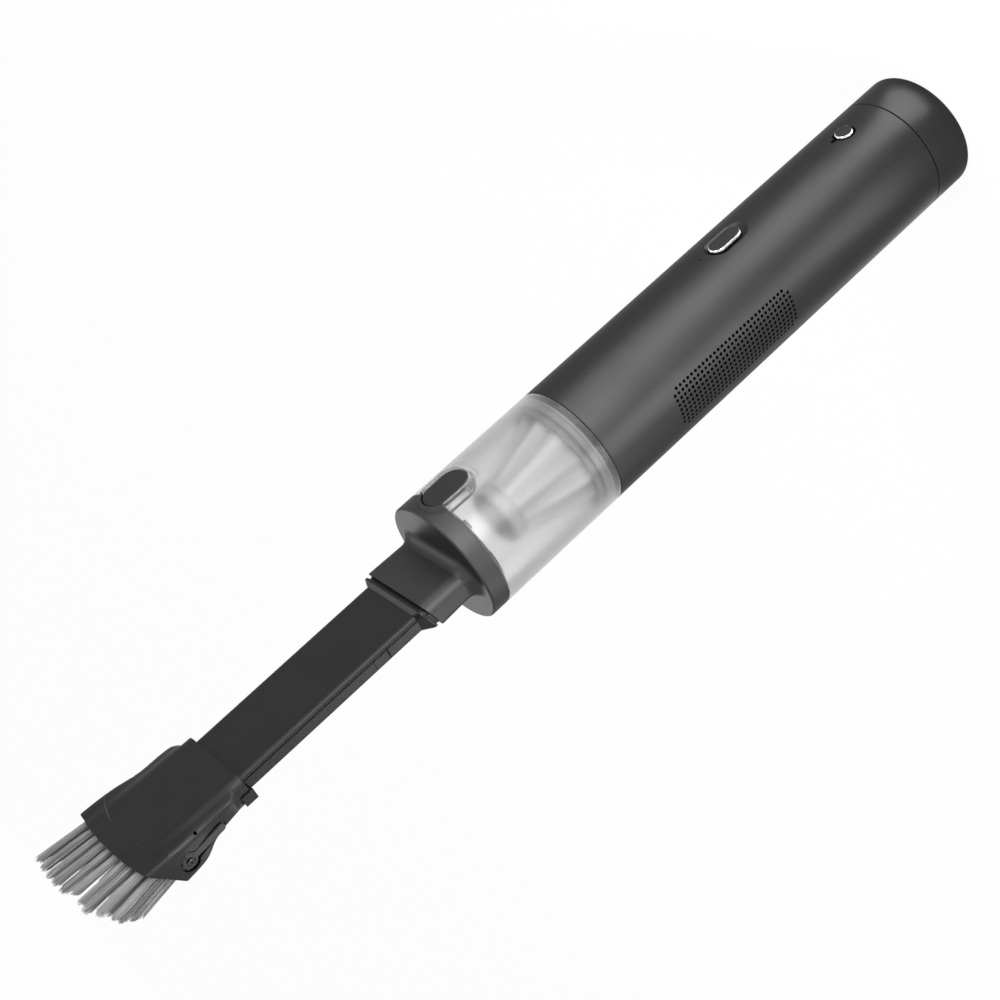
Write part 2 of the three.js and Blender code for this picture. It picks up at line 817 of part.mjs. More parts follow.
function pocketBlock() {
  const top = bodyRadius + bossTopProud;
  const lip = stadiumPoints(pocketHalfLength + bossTopMargin, pocketHalfWidth + bossTopMargin);
  const base = stadiumPoints(pocketHalfLength + bossBaseMargin, pocketHalfWidth + bossBaseMargin);
  const inside = stadiumPoints(pocketHalfLength + pocketWall, pocketHalfWidth + pocketWall);
  const innerLow = bodyRadius - pocketDepth + releaseProud - pocketFloor;
  const dome = stackTowardsFront([[base, bodyRadius - bossBaseDrop], [lip, top]], releaseZ);
  const well = stackTowardsFront([[inside, innerLow], [inside, bodyRadius]], releaseZ);
  return dome.add(well);
}

function pocketHollow() {
  const outline = stadiumPoints(pocketHalfLength, pocketHalfWidth);
  const low = bodyRadius - pocketDepth + releaseProud;
  return stackTowardsFront([[outline, low], [outline, bodyRadius + overrun]], releaseZ);
}

// The cup's half of the pocket keeps its full width up to the open front edge
function pocketGate() {
  const low = bodyRadius - pocketDepth + releaseProud;
  return block(-pocketHalfWidth, pocketHalfWidth, -bodyRadius - overrun, -low, releaseZ, coverSeamZ);
}

function behindSeam(z) {
  return disc(bodyRadius + overrun, cupSeamZ, z, bodySides);
}

function dustCup() {
  const rearZ = cupSeamZ - cupSpigotLength;
  const spigotOuter = innerFit;
  const spigotInner = innerFit - cupSpigotWall;
  const grooveLow = rearZ + sealInset;
  const wall = turned([
    [spigotInner, rearZ],
    [spigotOuter, rearZ],
    [spigotOuter, grooveLow],
    [spigotOuter - sealWidth - fitGap, grooveLow],
    [spigotOuter - sealWidth - fitGap, grooveLow + sealHeight],
    [spigotOuter, grooveLow + sealHeight],
    [spigotOuter, cupSeamZ + seamGap],
    [bodyRadius, cupSeamZ + seamGap],
    [bodyRadius, coverSeamZ - seamGap],
    [cupBore, coverSeamZ - seamGap],
    [cupBore, cupSeamZ + seamGap + cupWall],
    [spigotInner, cupSeamZ + seamGap],
  ]);
  const pocket = pocketBlock().intersect(behindSeam(coverSeamZ - seamGap));
  return cut(wall.add(pocket), [pocketHollow(), pocketGate()]);
}

function cupSeal() {
  const low = cupSeamZ - cupSpigotLength + sealInset + closeGap;
  return ring(innerFit - sealWidth, innerFit - sealGap, low, low + sealHeight - 2 * closeGap);
}

function filterBand() {
  const low = cupSeamZ + seamGap + cupWall + fitGap;
  return ring(cupBore - filterBandWidth, cupBore - fitGap, low, filterRearZ);
}

function pleatedRing(radius, z) {
  const count = 2 * filterPleats;
  return Array.from({ length: count }, (unused, i) => {
    const turn = 2 * Math.PI * i / count;
    const reach = radius - (i % 2) * pleatDepth;
    return new THREE.Vector3(reach * Math.cos(turn), reach * Math.sin(turn), z);
  });
}

function filterMedia() {
  const slope = (filterRearRadius - filterFrontRadius) / filterLength;
  const outer = loft([
    pleatedRing(filterRearRadius, filterRearZ),
    pleatedRing(filterFrontRadius, filterFrontZ),
  ]);
  const innerRear = filterRearRadius - pleatWall + slope * overrun;
  const innerFront = filterFrontRadius - pleatWall - slope * overrun;
  const inner = loft([
    pleatedRing(innerRear, filterRearZ - overrun),
    pleatedRing(innerFront, filterFrontZ + overrun),
  ]);
  return cut(outer, [inner]);
}

function filterCap() {
  const high = filterFrontZ + filterCapLength;
  return turned([
    [0, filterFrontZ],
    [filterCapRadius, filterFrontZ],
    [filterCapRadius, high - filterCapRound],
    [filterCapRadius - filterCapRound / 3, high - filterCapRound / 3],
    [filterCapRadius - filterCapRound, high],
    [0, high],
  ], partSides);
}

// Front cover and release button

function spoutOutline(grow) {
  return roundedRing(spoutHalfWidth - spoutFlare + grow, spoutHalfHeight - spoutFlare + grow,
    spoutCorner + grow);
}

function spoutTube() {
  const rings = [];
  for (let i = 0; i <= filletSteps; i += 1) {
    const turn = i / filletSteps * Math.PI / 2;
    const grow = spoutFillet * (1 - Math.sin(turn));
    rings.push(flatRing(spoutOutline(grow), coverFaceZ - faceEdgeRadius / 2
      + spoutFillet * (1 - Math.cos(turn))));
  }
  rings.push(flatRing(roundedRing(spoutHalfWidth, spoutHalfHeight, spoutCorner), spoutMouthZ, spoutSlope));
  return loft(rings);
}

function frontCover() {
  const spigotRear = coverSeamZ - spigotLength;
  const spigotOuter = cupBore - fitGap;
  const spigotInner = spigotOuter - spigotWall;
  const shell = turned([
    [spigotInner, spigotRear],
    [spigotOuter, spigotRear],
    [spigotOuter, coverSeamZ],
    [bodyRadius, coverSeamZ],
    [bodyRadius, coverFaceZ - faceEdgeRadius],
    [bodyRadius - faceEdgeRadius, coverFaceZ],
    [0, coverFaceZ],
    [0, coverFaceZ - coverPlate],
    [spigotInner, coverFaceZ - coverPlate],
  ]);
  const reach = pocketHalfWidth + pocketWall + slideGap;
  const gate = block(-reach, reach, -bodyRadius, -spigotInner + pocketDepth,
    spigotRear - overrun, coverSeamZ);
  const lip = pocketBlock().intersect(disc(bodyRadius + overrun, coverSeamZ, coverFaceZ - faceEdgeRadius));
  const bodyOutline = roundedRing(spoutBoreHalfWidth, spoutBoreHalfHeight, spoutCorner - spoutWall / 2);
  const throat = prismZ(bodyOutline, coverFaceZ - coverPlate - overrun, spoutMouthZ + 2 * overrun);
  return cut(join([shell.subtract(gate), lip, spoutTube()]), [pocketHollow(), throat]);
}

function releaseButton() {
  const top = bodyRadius + releaseProud;
  const outline = stadiumPoints(releaseHalfLength, releaseHalfWidth);
  const crown = stadiumPoints(releaseHalfLength - trimWidth / 2, releaseHalfWidth - trimWidth / 2);
  return stackTowardsFront([
    [outline, top - releaseThickness],
    [outline, top - trimWidth / 2],
    [crown, top],
  ], releaseZ);
}

// Crevice tool

function creviceTube() {
  const plugOutline = roundedRing(plugHalfWidth, plugHalfHeight, spoutCorner - spoutWall / 2);
  const flangeOutline = roundedRing(spoutHalfWidth - flangeMargin, spoutHalfHeight - flangeMargin,
    spoutCorner);
  const neckOutline = roundedRing(tubeHalfWidth + flangeNeckMargin, tubeHalfHeight + flangeNeckMargin,
    tubeCorner + flangeNeckMargin);
  const tubeOutline = roundedRing(tubeHalfWidth, tubeHalfHeight, tubeCorner);
  const flangeRear = spoutMouthZ + mouthGap;
  const bandEnd = flangeEndZ - flangeBand;
  const plug = loft([
    flatRing(plugOutline, spoutMouthZ - plugInsertLength),
    flatRing(plugOutline, flangeRear + flangeBand, spoutSlope),
  ]);
  const flange = loft([
    flatRing(flangeOutline, flangeRear, spoutSlope),
    flatRing(flangeOutline, bandEnd - flangeBand),
    flatRing(neckOutline, flangeEndZ),
  ]);
  const tube = loft([
    flatRing(tubeOutline, flangeRear),
    flatRing(tubeOutline, tubeEndZ, tubeEndSlope),
  ]);
  const plugBore = roundedRing(plugHalfWidth - toolWall, plugHalfHeight - toolWall, tubeCorner);
  const tubeBore = roundedRing(tubeHalfWidth - tubeWall, tubeHalfHeight - tubeWall, tubeCorner / 2);
  const duct = loft([
    flatRing(plugBore, spoutMouthZ - plugInsertLength - overrun),
    flatRing(plugBore, spoutMouthZ - mouthGap),
    flatRing(tubeBore, flangeEndZ),
    flatRing(tubeBore, tubeEndZ + 2 * overrun),
  ]);
  const grooveTop = -tubeHalfHeight + grooveBelowTop;
  const cutters = [duct];
  for (const side of [-1, 1]) {
    const outer = side * (tubeHalfWidth + overrun);
    const grooveFloor = side * (tubeHalfWidth - grooveDepth);
    const notchFloor = side * (tubeHalfWidth - notchDepth);
    cutters.push(block(Math.min(outer, grooveFloor), Math.max(outer, grooveFloor), grooveTop,
      grooveTop + grooveHeight, flangeEndZ, tubeEndZ + 2 * overrun));
    cutters.push(block(Math.min(outer, notchFloor), Math.max(outer, notchFloor), grooveTop + grooveHeight,
      tubeHalfHeight, notchZ - notchLength / 2, notchZ + notchLength / 2));
  }
  return cut(join([plug, flange, tube]), cutters);
}

// Brush head

function capShape(inset, rearZ, mouthGrow) {
  const rings = capSectionShares.map(({ along, side, top }) => {
    const z = rearZ + along * (capMouthZ - rearZ) + along * mouthGrow;
    const halfWidth = capRearHalfWidth + side * (capMouthHalfWidth - capRearHalfWidth) - inset;
    const halfHeight = capRearHalfHeight + top * (capMouthHalfHeight - capRearHalfHeight) - inset;
    const outline = roundedRing(halfWidth, halfHeight, Math.min(capCorner - inset, halfHeight));
    return flatRing(outline, z, along * capMouthSlope, along * capSweep, collarHalfWidth);
  });
  return loft(rings);
}

// The tongue's outline stands in the Y-Z plane and runs along X from lowX to highX
function tongueSolid(grow, lowX, highX) {
  const run = tongueRootZ - tongueTipZ;
  const lean = Math.atan2(tongueTipHeight - tongueRootHeight, run);
  const boss = tongueBossRadius + grow;
  const bar = new THREE.BoxGeometry(highX - lowX, 2 * (tongueHalfWidth + grow), run + grow);
  bar.translate((lowX + highX) / 2, 0, -(run + grow) / 2);
  const disk = new THREE.CylinderGeometry(boss, boss, highX - lowX, smallSides);
  disk.rotateZ(Math.PI / 2);
  disk.translate((lowX + highX) / 2, 0, 0);
  return [bar, disk].map((geometry) => {
    geometry.rotateX(-lean);
    geometry.translate(0, -tongueRootHeight, tongueRootZ);
    return toSolid(geometry);
  });
}

function sidePeg(radius, lowX, highX, sides = smallSides) {
  const geometry = new THREE.CylinderGeometry(radius, radius, highX - lowX, sides);
  geometry.rotateZ(Math.PI / 2);
  geometry.translate((lowX + highX) / 2, -tongueRootHeight, tongueRootZ);
  return toSolid(geometry);
}

function brushCap() {
  const collarOutline = roundedRing(collarHalfWidth, collarHalfHeight, collarCorner);
  const collar = prismZ(collarOutline, collarRearZ, collarFrontZ);
  const shell = capShape(0, capRearZ, 0);
  const boreOutline = roundedRing(tubeHalfWidth + slideGap, tubeHalfHeight + slideGap, tubeCorner + slideGap);
  const slide = prismZ(boreOutline, collarRearZ - overrun, capMouthZ + 2 * overrun);
  const hollow = capShape(capWall, collarRearZ + collarBoreLength, overrun / 2);
  const pillar = sidePeg(pillarRadius, -tongueFace + tongueThickness + pinClearance,
    -tubeHalfWidth - slideGap - fitGap);
  const screwHole = sidePeg(tongueScrewRadius + pinClearance, -tongueFace - overrun, -tubeHalfWidth - fitGap);
  const window = tongueSolid(tongueSlotGap, -tongueFace - overrun,
    -tongueFace + tongueThickness + pinClearance);
  const mouthTrim = collar.intersect(shell.add(prismZ(collarOutline, collarRearZ, capRearZ + overrun)));
  const body = cut(shell.add(mouthTrim), [hollow, slide, ...window]);
  return cut(body.add(pillarBridge(pillar)), [screwHole, slide]);
}

// The screw pillar stands on a rib that reaches the cap's lower wall
function pillarBridge(pillar) {
  const rib = block(-tongueFace + tongueThickness + pinClearance + fitGap, -tubeHalfWidth - slideGap - fitGap,
    -tongueRootHeight, capMouthHalfHeight - ribSinkFromMouth, tongueRootZ - pillarRadius + fitGap,
    tongueRootZ);
  return pillar.add(rib);
}

function detentTongue() {
  const tongue = join(tongueSolid(0, -tongueFace, -tongueFace + tongueThickness));
  return cut(tongue, [sidePeg(tongueScrewRadius + pinClearance, -tongueFace - overrun, -tubeHalfWidth)]);
}

function tongueScrew() {
  const head = sidePeg(tongueScrewHead, -tongueFace - pinClearance - tongueScrewHeadHeight,
    -tongueFace - pinClearance);
  const shank = sidePeg(tongueScrewRadius, -tongueFace - pinClearance - tongueScrewHeadHeight / 2,
    -tongueFace - pinClearance + tongueScrewLength, smallSides / 2);
  return head.add(shank);
}

// Bristles: straight strands that spread by one scaling, so that none cross

function strand(centre, offset, index) {
  const spin = index * Math.PI / strandSides;
  const rootZ = capMouthZ - backingBelowMouth - capMouthSlope * centre.y - bristleRoot;
  const ragged = bristleRagged * Math.sin(index * index + centre.x);
  const tipZ = bristleTipZ - bristleTipSlope * centre.y
    - bristleTipSweep * (centre.x / capMouthHalfWidth) ** 2 - bristleRagged + ragged;
  const rings = [rootZ, tipZ].map((z) => {
    const grow = (z - (capMouthZ - backingBelowMouth)) / (bristleTipZ - capMouthZ + backingBelowMouth);
    const x = centre.x * (1 + headSpreadShare * grow) + offset.x * (1 + tuftSpreadShare * grow);
    const y = centre.y * (1 + headSpreadShare * grow) + offset.y * (1 + tuftSpreadShare * grow);
    const radius = strandRadius * (z === rootZ ? 1 : strandTipShare);
    return roundPoints(radius, strandSides).map((p) => {
      const corner = p.rotateAround(new THREE.Vector2(0, 0), spin);
      return new THREE.Vector3(x + corner.x, y + corner.y, z);
    });
  });
  return loft(rings);
}

function tuft(centre) {
  const goldenTurn = Math.PI * (3 - Math.sqrt(5));
  return Array.from({ length: strandsPerTuft }, (unused, i) => {
    const reach = tuftRadius * Math.sqrt((i + 1 / 2) / strandsPerTuft);
    const turn = i * goldenTurn + centre.x;
    const offset = new THREE.Vector2(reach * Math.cos(turn), reach * Math.sin(turn));
    return strand(centre, offset, i);
  });
}

function backing(lowX, highX, lowY, highY) {
  const outline = roundedRing(bodyRadius, bodyRadius / 2, capCorner);
  const frontZ = capMouthZ - backingBelowMouth;
  const slab = loft([
    flatRing(outline, frontZ - backingThickness, capMouthSlope),
    flatRing(outline, frontZ, capMouthSlope),
  ]);
  const inside = capShape(capWall + fitGap, collarRearZ + collarBoreLength, overrun / 2);
  const sector = block(lowX, highX, lowY, highY, collarRearZ, bristleTipZ);
  return slab.intersect(inside).intersect(sector);
}

function rowBristles(side) {
  const inner = tubeHalfHeight + slideGap;
  const outer = capMouthHalfHeight - rowSinkFromMouth - capWall - fitGap;
  const centreY = side * (inner + outer) / 2;
  const rowPitch = 2 * (tubeHalfWidth - tuftRadius + rowEndMargin + closeGap) / (rowTufts - 1);
  const tufts = [];
  for (let i = 0; i < rowTufts; i += 1) {
    const x = (i - (rowTufts - 1) / 2) * rowPitch;
    tufts.push(...tuft(new THREE.Vector2(x, centreY)));
  }
  const reach = bodyRadius;
  const plate = side > 0 ? backing(-reach, reach, inner, reach) : backing(-reach, reach, -reach, -inner);
  return join([plate, ...tufts]);
}

function sideBristles(side) {
  const inner = tubeHalfWidth + slideGap;
  const limit = tubeHalfHeight + slideGap - fitGap;
  const sideRowPitch = 2 * (limit - sideEndMargin) / (sideRows - 1);
  const tufts = [];
  for (let column = 0; column < sideColumns; column += 1) {
    for (let row = 0; row < sideRows; row += 1) {
      const x = side * (inner + sideColumnPitch / 2 + column * sideColumnPitch);
      const y = (row - (sideRows - 1) / 2) * sideRowPitch;
      tufts.push(...tuft(new THREE.Vector2(x, y)));
    }
  }
  const reach = tongueFace - tongueThickness - pinClearance;
  const plate = side > 0 ? backing(inner, reach, -limit, limit) : backing(-reach, -inner, -limit, limit);
  return join([plate, ...tufts]);
}

// Assembly

add('main_housing', mainHousing(), graphitePaint);
add('rear_cap', rearCap(), graphitePaint);
for (let i = 0; i < cellCount; i += 1) {
  add(`battery_cell_${i + 1}`, cellSolid(i, cellRadius, cellRearZ, cellFrontZ), cellWrap);
}
add('battery_holder_rear', batteryHolder(innerFit - spigotWall - shellWall - fitGap, capFloor,
  capFloor + holderThickness, cellRearZ, cellRearZ + overrun), holderPlastic);
add('battery_holder_front', batteryHolder(innerFit, cellFrontZ - cellPocket, holderFrontZ,
  cellFrontZ - cellPocket - overrun, cellFrontZ), holderPlastic);
add('board_tray', boardTray(), blackPlastic);
add('control_board', controlBoard(), boardGreen);
boardScrewPlaces().forEach((place, i) => add(`board_screw_${i + 1}`, boardScrew(place), steel));
add('power_switch', powerSwitch(), blackPlastic);
add('lamp_lens', peg(lampRadius, -boardY, bodyRadius - lampSink, 0, lampZ, smallSides / 2), whitePlastic);
add('charge_socket', chargeSocket(), blackPlastic);
add('charge_board', chargeBoard(), boardGreen);
add('motor_can', motorCan(), steel);
add('motor_end_bell', ring(shaftRadius + fitGap, canRadius, canRearZ - endBellThickness, canRearZ),
  blackPlastic);
add('motor_mount', motorMount(), sealRubber);
add('motor_bearing', ring(shaftRadius + fitGap, bearingRadius, canFrontZ, canFrontZ + mountThickness), steel);
add('fan_shroud', fanShroud(), blackPlastic);
add('exhaust_filter_left', exhaustPad(-1), foam);
add('exhaust_filter_right', exhaustPad(1), foam);
add('motor_lead_red', motorLead(1), redWire);
add('motor_lead_black', motorLead(-1), blackWire);
add('motor_shaft', disc(shaftRadius, canRearZ - endBellThickness - shaftRadius,
  shroudRearZ + impellerRise + impellerHeight, smallSides), steel);
add('motor_rotor', ring(shaftRadius + fitGap, rotorRadius, canRearZ + rotorMargin,
  canFrontZ - canWall - rotorMargin), steel);
add('impeller', impellerFan(), blackPlastic);
add('power_button', powerButton(), buttonPlastic);
add('power_button_trim', powerTrim(), brightTrim);
add('charge_plug', chargePlug(), buttonPlastic);
add('charge_plug_trim', plugTrim(), brightTrim);
add('dust_cup', dustCup(), frostedClear);
add('cup_seal', cupSeal(), sealRubber);
add('filter_band', filterBand(), filterFrame);
add('filter_media', filterMedia(), filterWhite);
add('filter_cap', filterCap(), filterFrame);
add('front_cover', frontCover(), graphitePaint);
add('release_button', releaseButton(), buttonPlastic);
add('crevice_tube', creviceTube(), blackPlastic);
add('brush_cap', brushCap(), blackPlastic);
add('bristles_top', rowBristles(-1), bristleGrey);
add('bristles_bottom', rowBristles(1), bristleGrey);
add('bristles_left', sideBristles(-1), bristleGrey);
add('bristles_right', sideBristles(1), bristleGrey);
add('detent_tongue', detentTongue(), blackPlastic);
add('tongue_screw', tongueScrew(), steel);

export default vacuum;
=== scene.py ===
import math

import bmesh
import bpy
from mathutils import Matrix, Vector


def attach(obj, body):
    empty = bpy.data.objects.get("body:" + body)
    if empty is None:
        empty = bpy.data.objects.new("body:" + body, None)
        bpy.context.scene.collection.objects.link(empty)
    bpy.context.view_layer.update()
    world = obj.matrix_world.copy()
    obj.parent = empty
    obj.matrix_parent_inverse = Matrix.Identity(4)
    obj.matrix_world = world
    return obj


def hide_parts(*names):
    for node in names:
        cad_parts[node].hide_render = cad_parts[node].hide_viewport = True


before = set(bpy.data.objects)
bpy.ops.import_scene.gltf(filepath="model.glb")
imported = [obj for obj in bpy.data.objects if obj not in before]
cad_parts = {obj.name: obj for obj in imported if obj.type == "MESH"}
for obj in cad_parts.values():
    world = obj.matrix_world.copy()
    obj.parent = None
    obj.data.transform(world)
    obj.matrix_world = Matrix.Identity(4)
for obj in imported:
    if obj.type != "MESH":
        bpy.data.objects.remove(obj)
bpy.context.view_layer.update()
mm = 0.001


def portion(value, first, last):  # how far a value lies between two others, from 0 to 1
    return min(max((value - first) / (last - first), 0), 1)


# Node trees: sums on sockets read as sums, every other node comes from Graph.node


class Wire:
    def __init__(self, graph, socket):
        self.graph = graph
        self.socket = socket

    def __add__(self, other):
        return self.graph.calc("ADD", self, other)

    def __sub__(self, other):
        return self.graph.calc("SUBTRACT", self, other)

    def __mul__(self, other):
        return self.graph.calc("MULTIPLY", self, other)

    def __truediv__(self, other):
        return self.graph.calc("DIVIDE", self, other)

    def __pow__(self, other):
        return self.graph.calc("POWER", self, other)

    def __gt__(self, other):
        return self.graph.calc("GREATER_THAN", self, other)

    def __lt__(self, other):
        return self.graph.calc("LESS_THAN", self, other)

    __radd__ = __add__


class Graph:
    def __init__(self, tree):
        self.tree = tree

    def node(self, kind, settings=None, sockets=None, out=0):  # out names one output, or a list of them
        made = self.tree.nodes.new(kind)
        for key, value in (settings or {}).items():
            if key == "stops":
                self.setStops(made.color_ramp, value)
            else:
                setattr(made, key, value)
        for key, value in (sockets or {}).items():
            if isinstance(value, Wire):
                self.tree.links.new(value.socket, made.inputs[key])
            else:
                made.inputs[key].default_value = value
        if isinstance(out, list):
            return [Wire(self, made.outputs[key]) for key in out]
        return Wire(self, made.outputs[out]) if len(made.outputs) else None

    def setStops(self, ramp, stops):
        while len(ramp.elements) < len(stops):
            ramp.elements.new(1)
        for element, (position, colour) in zip(ramp.elements, stops):
            element.position = position
            element.color = colour

    def calc(self, operation, *values):
        return self.node("ShaderNodeMath", {"operation": operation}, dict(enumerate(values)))

    def mixColour(self, factor, first, second):
        return self.node("ShaderNodeMix", {"data_type": "RGBA"}, {0: factor, 6: first, 7: second}, out=2)

    def vector(self, x, y, z):
        return self.node("ShaderNodeCombineXYZ", {}, {0: x, 1: y, 2: z})

    def principled(self, sockets):
        return self.node("ShaderNodeBsdfPrincipled", {}, sockets)

    def surface(self, shader):
        self.node("ShaderNodeOutputMaterial", {}, {"Surface": shader})


def shade(level):  # an sRGB grey from 0 to 255 as linear light
    share = level / 255
    return share / 12.92 if share <= 0.04045 else ((share + 0.055) / 1.055) ** 2.4


def grey(light):
    return (light, light, light, 1)


def tone(red, green=None, blue=None):  # one sRGB level, or three
    return grey(shade(red)) if green is None else (shade(red), shade(green), shade(blue), 1)


# Materials


def newMaterial(name):
    material = bpy.data.materials.new(name)
    material.use_nodes = True
    material.node_tree.nodes.clear()
    return material, Graph(material.node_tree)


def objectPlace(graph):
    return graph.node("ShaderNodeTexCoord", out="Object")


def noise(graph, place, scale, detail):
    return graph.node("ShaderNodeTexNoise", {}, {"Vector": place, "Scale": scale, "Detail": detail})


def bump(graph, look, height):
    return graph.node("ShaderNodeBump", {}, {
        "Strength": look["bumpStrength"], "Distance": look["bumpHeight"] * mm, "Height": height})


solidLook = {  # what a solid finish has unless its own dictionary says otherwise
    "driftScale": 60.0, "grainScale": 1800.0, "smudgeScale": 120.0, "roughnessSpread": 0.1,
    "roughnessGrain": 0.1, "bumpStrength": 0.2, "bumpHeight": 0.02, "metallic": 0.0, "specular": 0.5,
    "edgeTint": 1.0}


def solidSurface(graph, place, look, colour, grain, height):
    smudge = noise(graph, place, look["smudgeScale"], 5.0)
    spread = (smudge - 0.5) * look["roughnessSpread"]
    graph.surface(graph.principled({
        "Base Color": colour, "Roughness": look["roughness"] + spread + (grain - 0.5) * look["roughnessGrain"],
        "Normal": bump(graph, look, height), "Metallic": look["metallic"],
        "Specular IOR Level": look["specular"], "Specular Tint": grey(look["edgeTint"])}))


def moulded(name, look):
    look = {**solidLook, **look}
    material, graph = newMaterial(name)
    place = objectPlace(graph)
    drift = noise(graph, place, look["driftScale"], 4.0)
    grain = noise(graph, place, look["grainScale"], 2.0)
    mask = graph.node("ShaderNodeMapRange", {}, {
        "Value": drift * 0.5 + grain * 0.5, "From Min": 0.35, "From Max": 0.65, "To Min": 0.0, "To Max": 1.0})
    colour = graph.mixColour(mask, *look["colours"])
    if "paintedFoldShade" in look:  # painted shade: the cloth darkens in its folds
        fold = graph.node("ShaderNodeAttribute", {"attribute_name": "foldShade"}, {}, "Fac")
        colour = graph.mixColour(fold, colour, look["paintedFoldShade"])
    solidSurface(graph, place, look, colour, grain, grain)
    return material


def metalFlake(name, look):  # satin paint with fine flakes
    look = {**solidLook, **look}
    material, graph = newMaterial(name)
    place = objectPlace(graph)
    flake = graph.node("ShaderNodeTexVoronoi", {"feature": "F1"}, {
        "Vector": place, "Scale": look["flakeScale"]}, "Color")
    sparkle = graph.node("ShaderNodeSeparateColor", {}, {0: flake})
    drift = noise(graph, place, look["driftScale"], 4.0)
    mask = sparkle * look["flakeShare"] + drift * (1 - look["flakeShare"])
    peel = noise(graph, place, look["peelScale"], 2.0) + sparkle * look["flakeRelief"]
    solidSurface(graph, place, look, graph.mixColour(mask, *look["colours"]), sparkle, peel)
    return material


bodyLook = {
    "colours": (tone(48), tone(58)), "flakeScale": 5200.0, "flakeShare": 0.45, "flakeRelief": 0.15,
    "peelScale": 900.0, "smudgeScale": 90.0, "roughness": 0.4, "roughnessSpread": 0.06, "roughnessGrain": 0.08,
    "metallic": 0.9, "specular": 0.3, "edgeTint": 0.55}
bodyPaint = metalFlake("bodyPaint", bodyLook)
coverPaint = metalFlake("coverPaint", {
    **bodyLook, "colours": (tone(50), tone(60)), "driftScale": 70.0, "smudgeScale": 110.0, "roughness": 0.46,
    "metallic": 0.75, "specular": 0.25})
mattBlack = moulded("mattBlack", {
    "colours": (tone(10), tone(17)), "driftScale": 45.0, "grainScale": 2600.0, "roughness": 0.4,
    "bumpStrength": 0.25, "bumpHeight": 0.03, "specular": 0.2})
brushBlack = moulded("brushBlack", {
    "colours": (tone(10), tone(17)), "grainScale": 2200.0, "smudgeScale": 140.0, "roughness": 0.42,
    "bumpStrength": 0.3, "bumpHeight": 0.03, "specular": 0.2})
tongueBlack = moulded("tongueBlack", {
    "colours": (tone(40), tone(54)), "driftScale": 120.0, "smudgeScale": 160.0, "roughness": 0.46,
    "roughnessGrain": 0.12, "bumpStrength": 0.5, "bumpHeight": 0.04, "specular": 0.25})
buttonDark = moulded("buttonDark", {
    "colours": (tone(20), tone(27)), "driftScale": 120.0, "grainScale": 3000.0, "smudgeScale": 200.0,
    "roughness": 0.34, "roughnessSpread": 0.12, "roughnessGrain": 0.06, "specular": 0.22})
darkScrew = moulded("darkScrew", {
    "colours": (tone(52), tone(66)), "driftScale": 200.0, "grainScale": 2400.0, "smudgeScale": 260.0,
    "roughness": 0.36, "roughnessSpread": 0.12, "roughnessGrain": 0.08, "bumpStrength": 0.15,
    "bumpHeight": 0.01, "metallic": 1.0})
brightTrim = moulded("brightTrim", {
    "colours": (tone(200), tone(224)), "driftScale": 200.0, "grainScale": 2600.0, "smudgeScale": 300.0,
    "roughness": 0.22, "roughnessSpread": 0.05, "roughnessGrain": 0.03, "bumpStrength": 0.03,
    "bumpHeight": 0.01, "metallic": 1.0})
softBlack = moulded("softBlack", {
    "colours": (tone(34), tone(46)), "driftScale": 80.0, "roughness": 0.75, "roughnessSpread": 0.12,
    "bumpStrength": 0.4, "bumpHeight": 0.03})
filterFrame = moulded("filterFrame", {
    "colours": (tone(184), tone(198)), "grainScale": 1500.0, "roughness": 0.5})
bandGrey = moulded("bandGrey", {
    "colours": (tone(136), tone(150)), "grainScale": 1500.0, "roughness": 0.55})
# the fold colour is painted shade that darkens the cloth deep in its pleats
filterCloth = moulded("filterCloth", {
    "colours": (tone(220), tone(232)), "paintedFoldShade": tone(196), "driftScale": 90.0, "grainScale": 1400.0,
    "smudgeScale": 200.0, "roughness": 0.9, "bumpStrength": 0.7, "bumpHeight": 0.08})
paleMoulding = moulded("paleMoulding", {
    "colours": (tone(222, 218, 206), tone(236, 232, 222)), "driftScale": 50.0, "grainScale": 1600.0,
    "smudgeScale": 100.0, "roughness": 0.55, "roughnessSpread": 0.12, "bumpStrength": 0.25})
plainSteel = moulded("plainSteel", {
    "colours": (tone(176), tone(198)), "driftScale": 140.0, "grainScale": 1200.0, "smudgeScale": 160.0,
    "roughness": 0.34, "roughnessSpread": 0.16, "bumpHeight": 0.01, "metallic": 1.0})
cellWrap = moulded("cellWrap", {
    "colours": (tone(58, 112, 160), tone(70, 128, 176)), "driftScale": 40.0, "grainScale": 900.0,
    "smudgeScale": 90.0, "roughness": 0.32, "roughnessSpread": 0.14, "roughnessGrain": 0.06,
    "bumpStrength": 0.3, "bumpHeight": 0.03})
boardGreen = moulded("boardGreen", {
    "colours": (tone(24, 84, 52), tone(40, 108, 66)), "driftScale": 220.0, "grainScale": 900.0,
    "smudgeScale": 160.0, "roughness": 0.4, "roughnessSpread": 0.14, "roughnessGrain": 0.06,
    "bumpStrength": 0.4, "bumpHeight": 0.04})
redWire = moulded("redWire", {
    "colours": (tone(160, 34, 28), tone(190, 48, 38)), "driftScale": 80.0, "grainScale": 1500.0,
    "smudgeScale": 150.0, "roughness": 0.45, "roughnessGrain": 0.08})
padFoam = moulded("padFoam", {
    "colours": (tone(26), tone(46)), "driftScale": 500.0, "smudgeScale": 300.0, "roughness": 0.95,
    "roughnessSpread": 0.06, "roughnessGrain": 0.06, "bumpStrength": 0.9, "bumpHeight": 0.2})
lampDark = moulded("lampDark", {
    "colours": (tone(30), tone(44)), "driftScale": 300.0, "grainScale": 3000.0, "smudgeScale": 400.0,
    "roughness": 0.2, "roughnessGrain": 0.04, "bumpStrength": 0.1, "bumpHeight": 0.01})


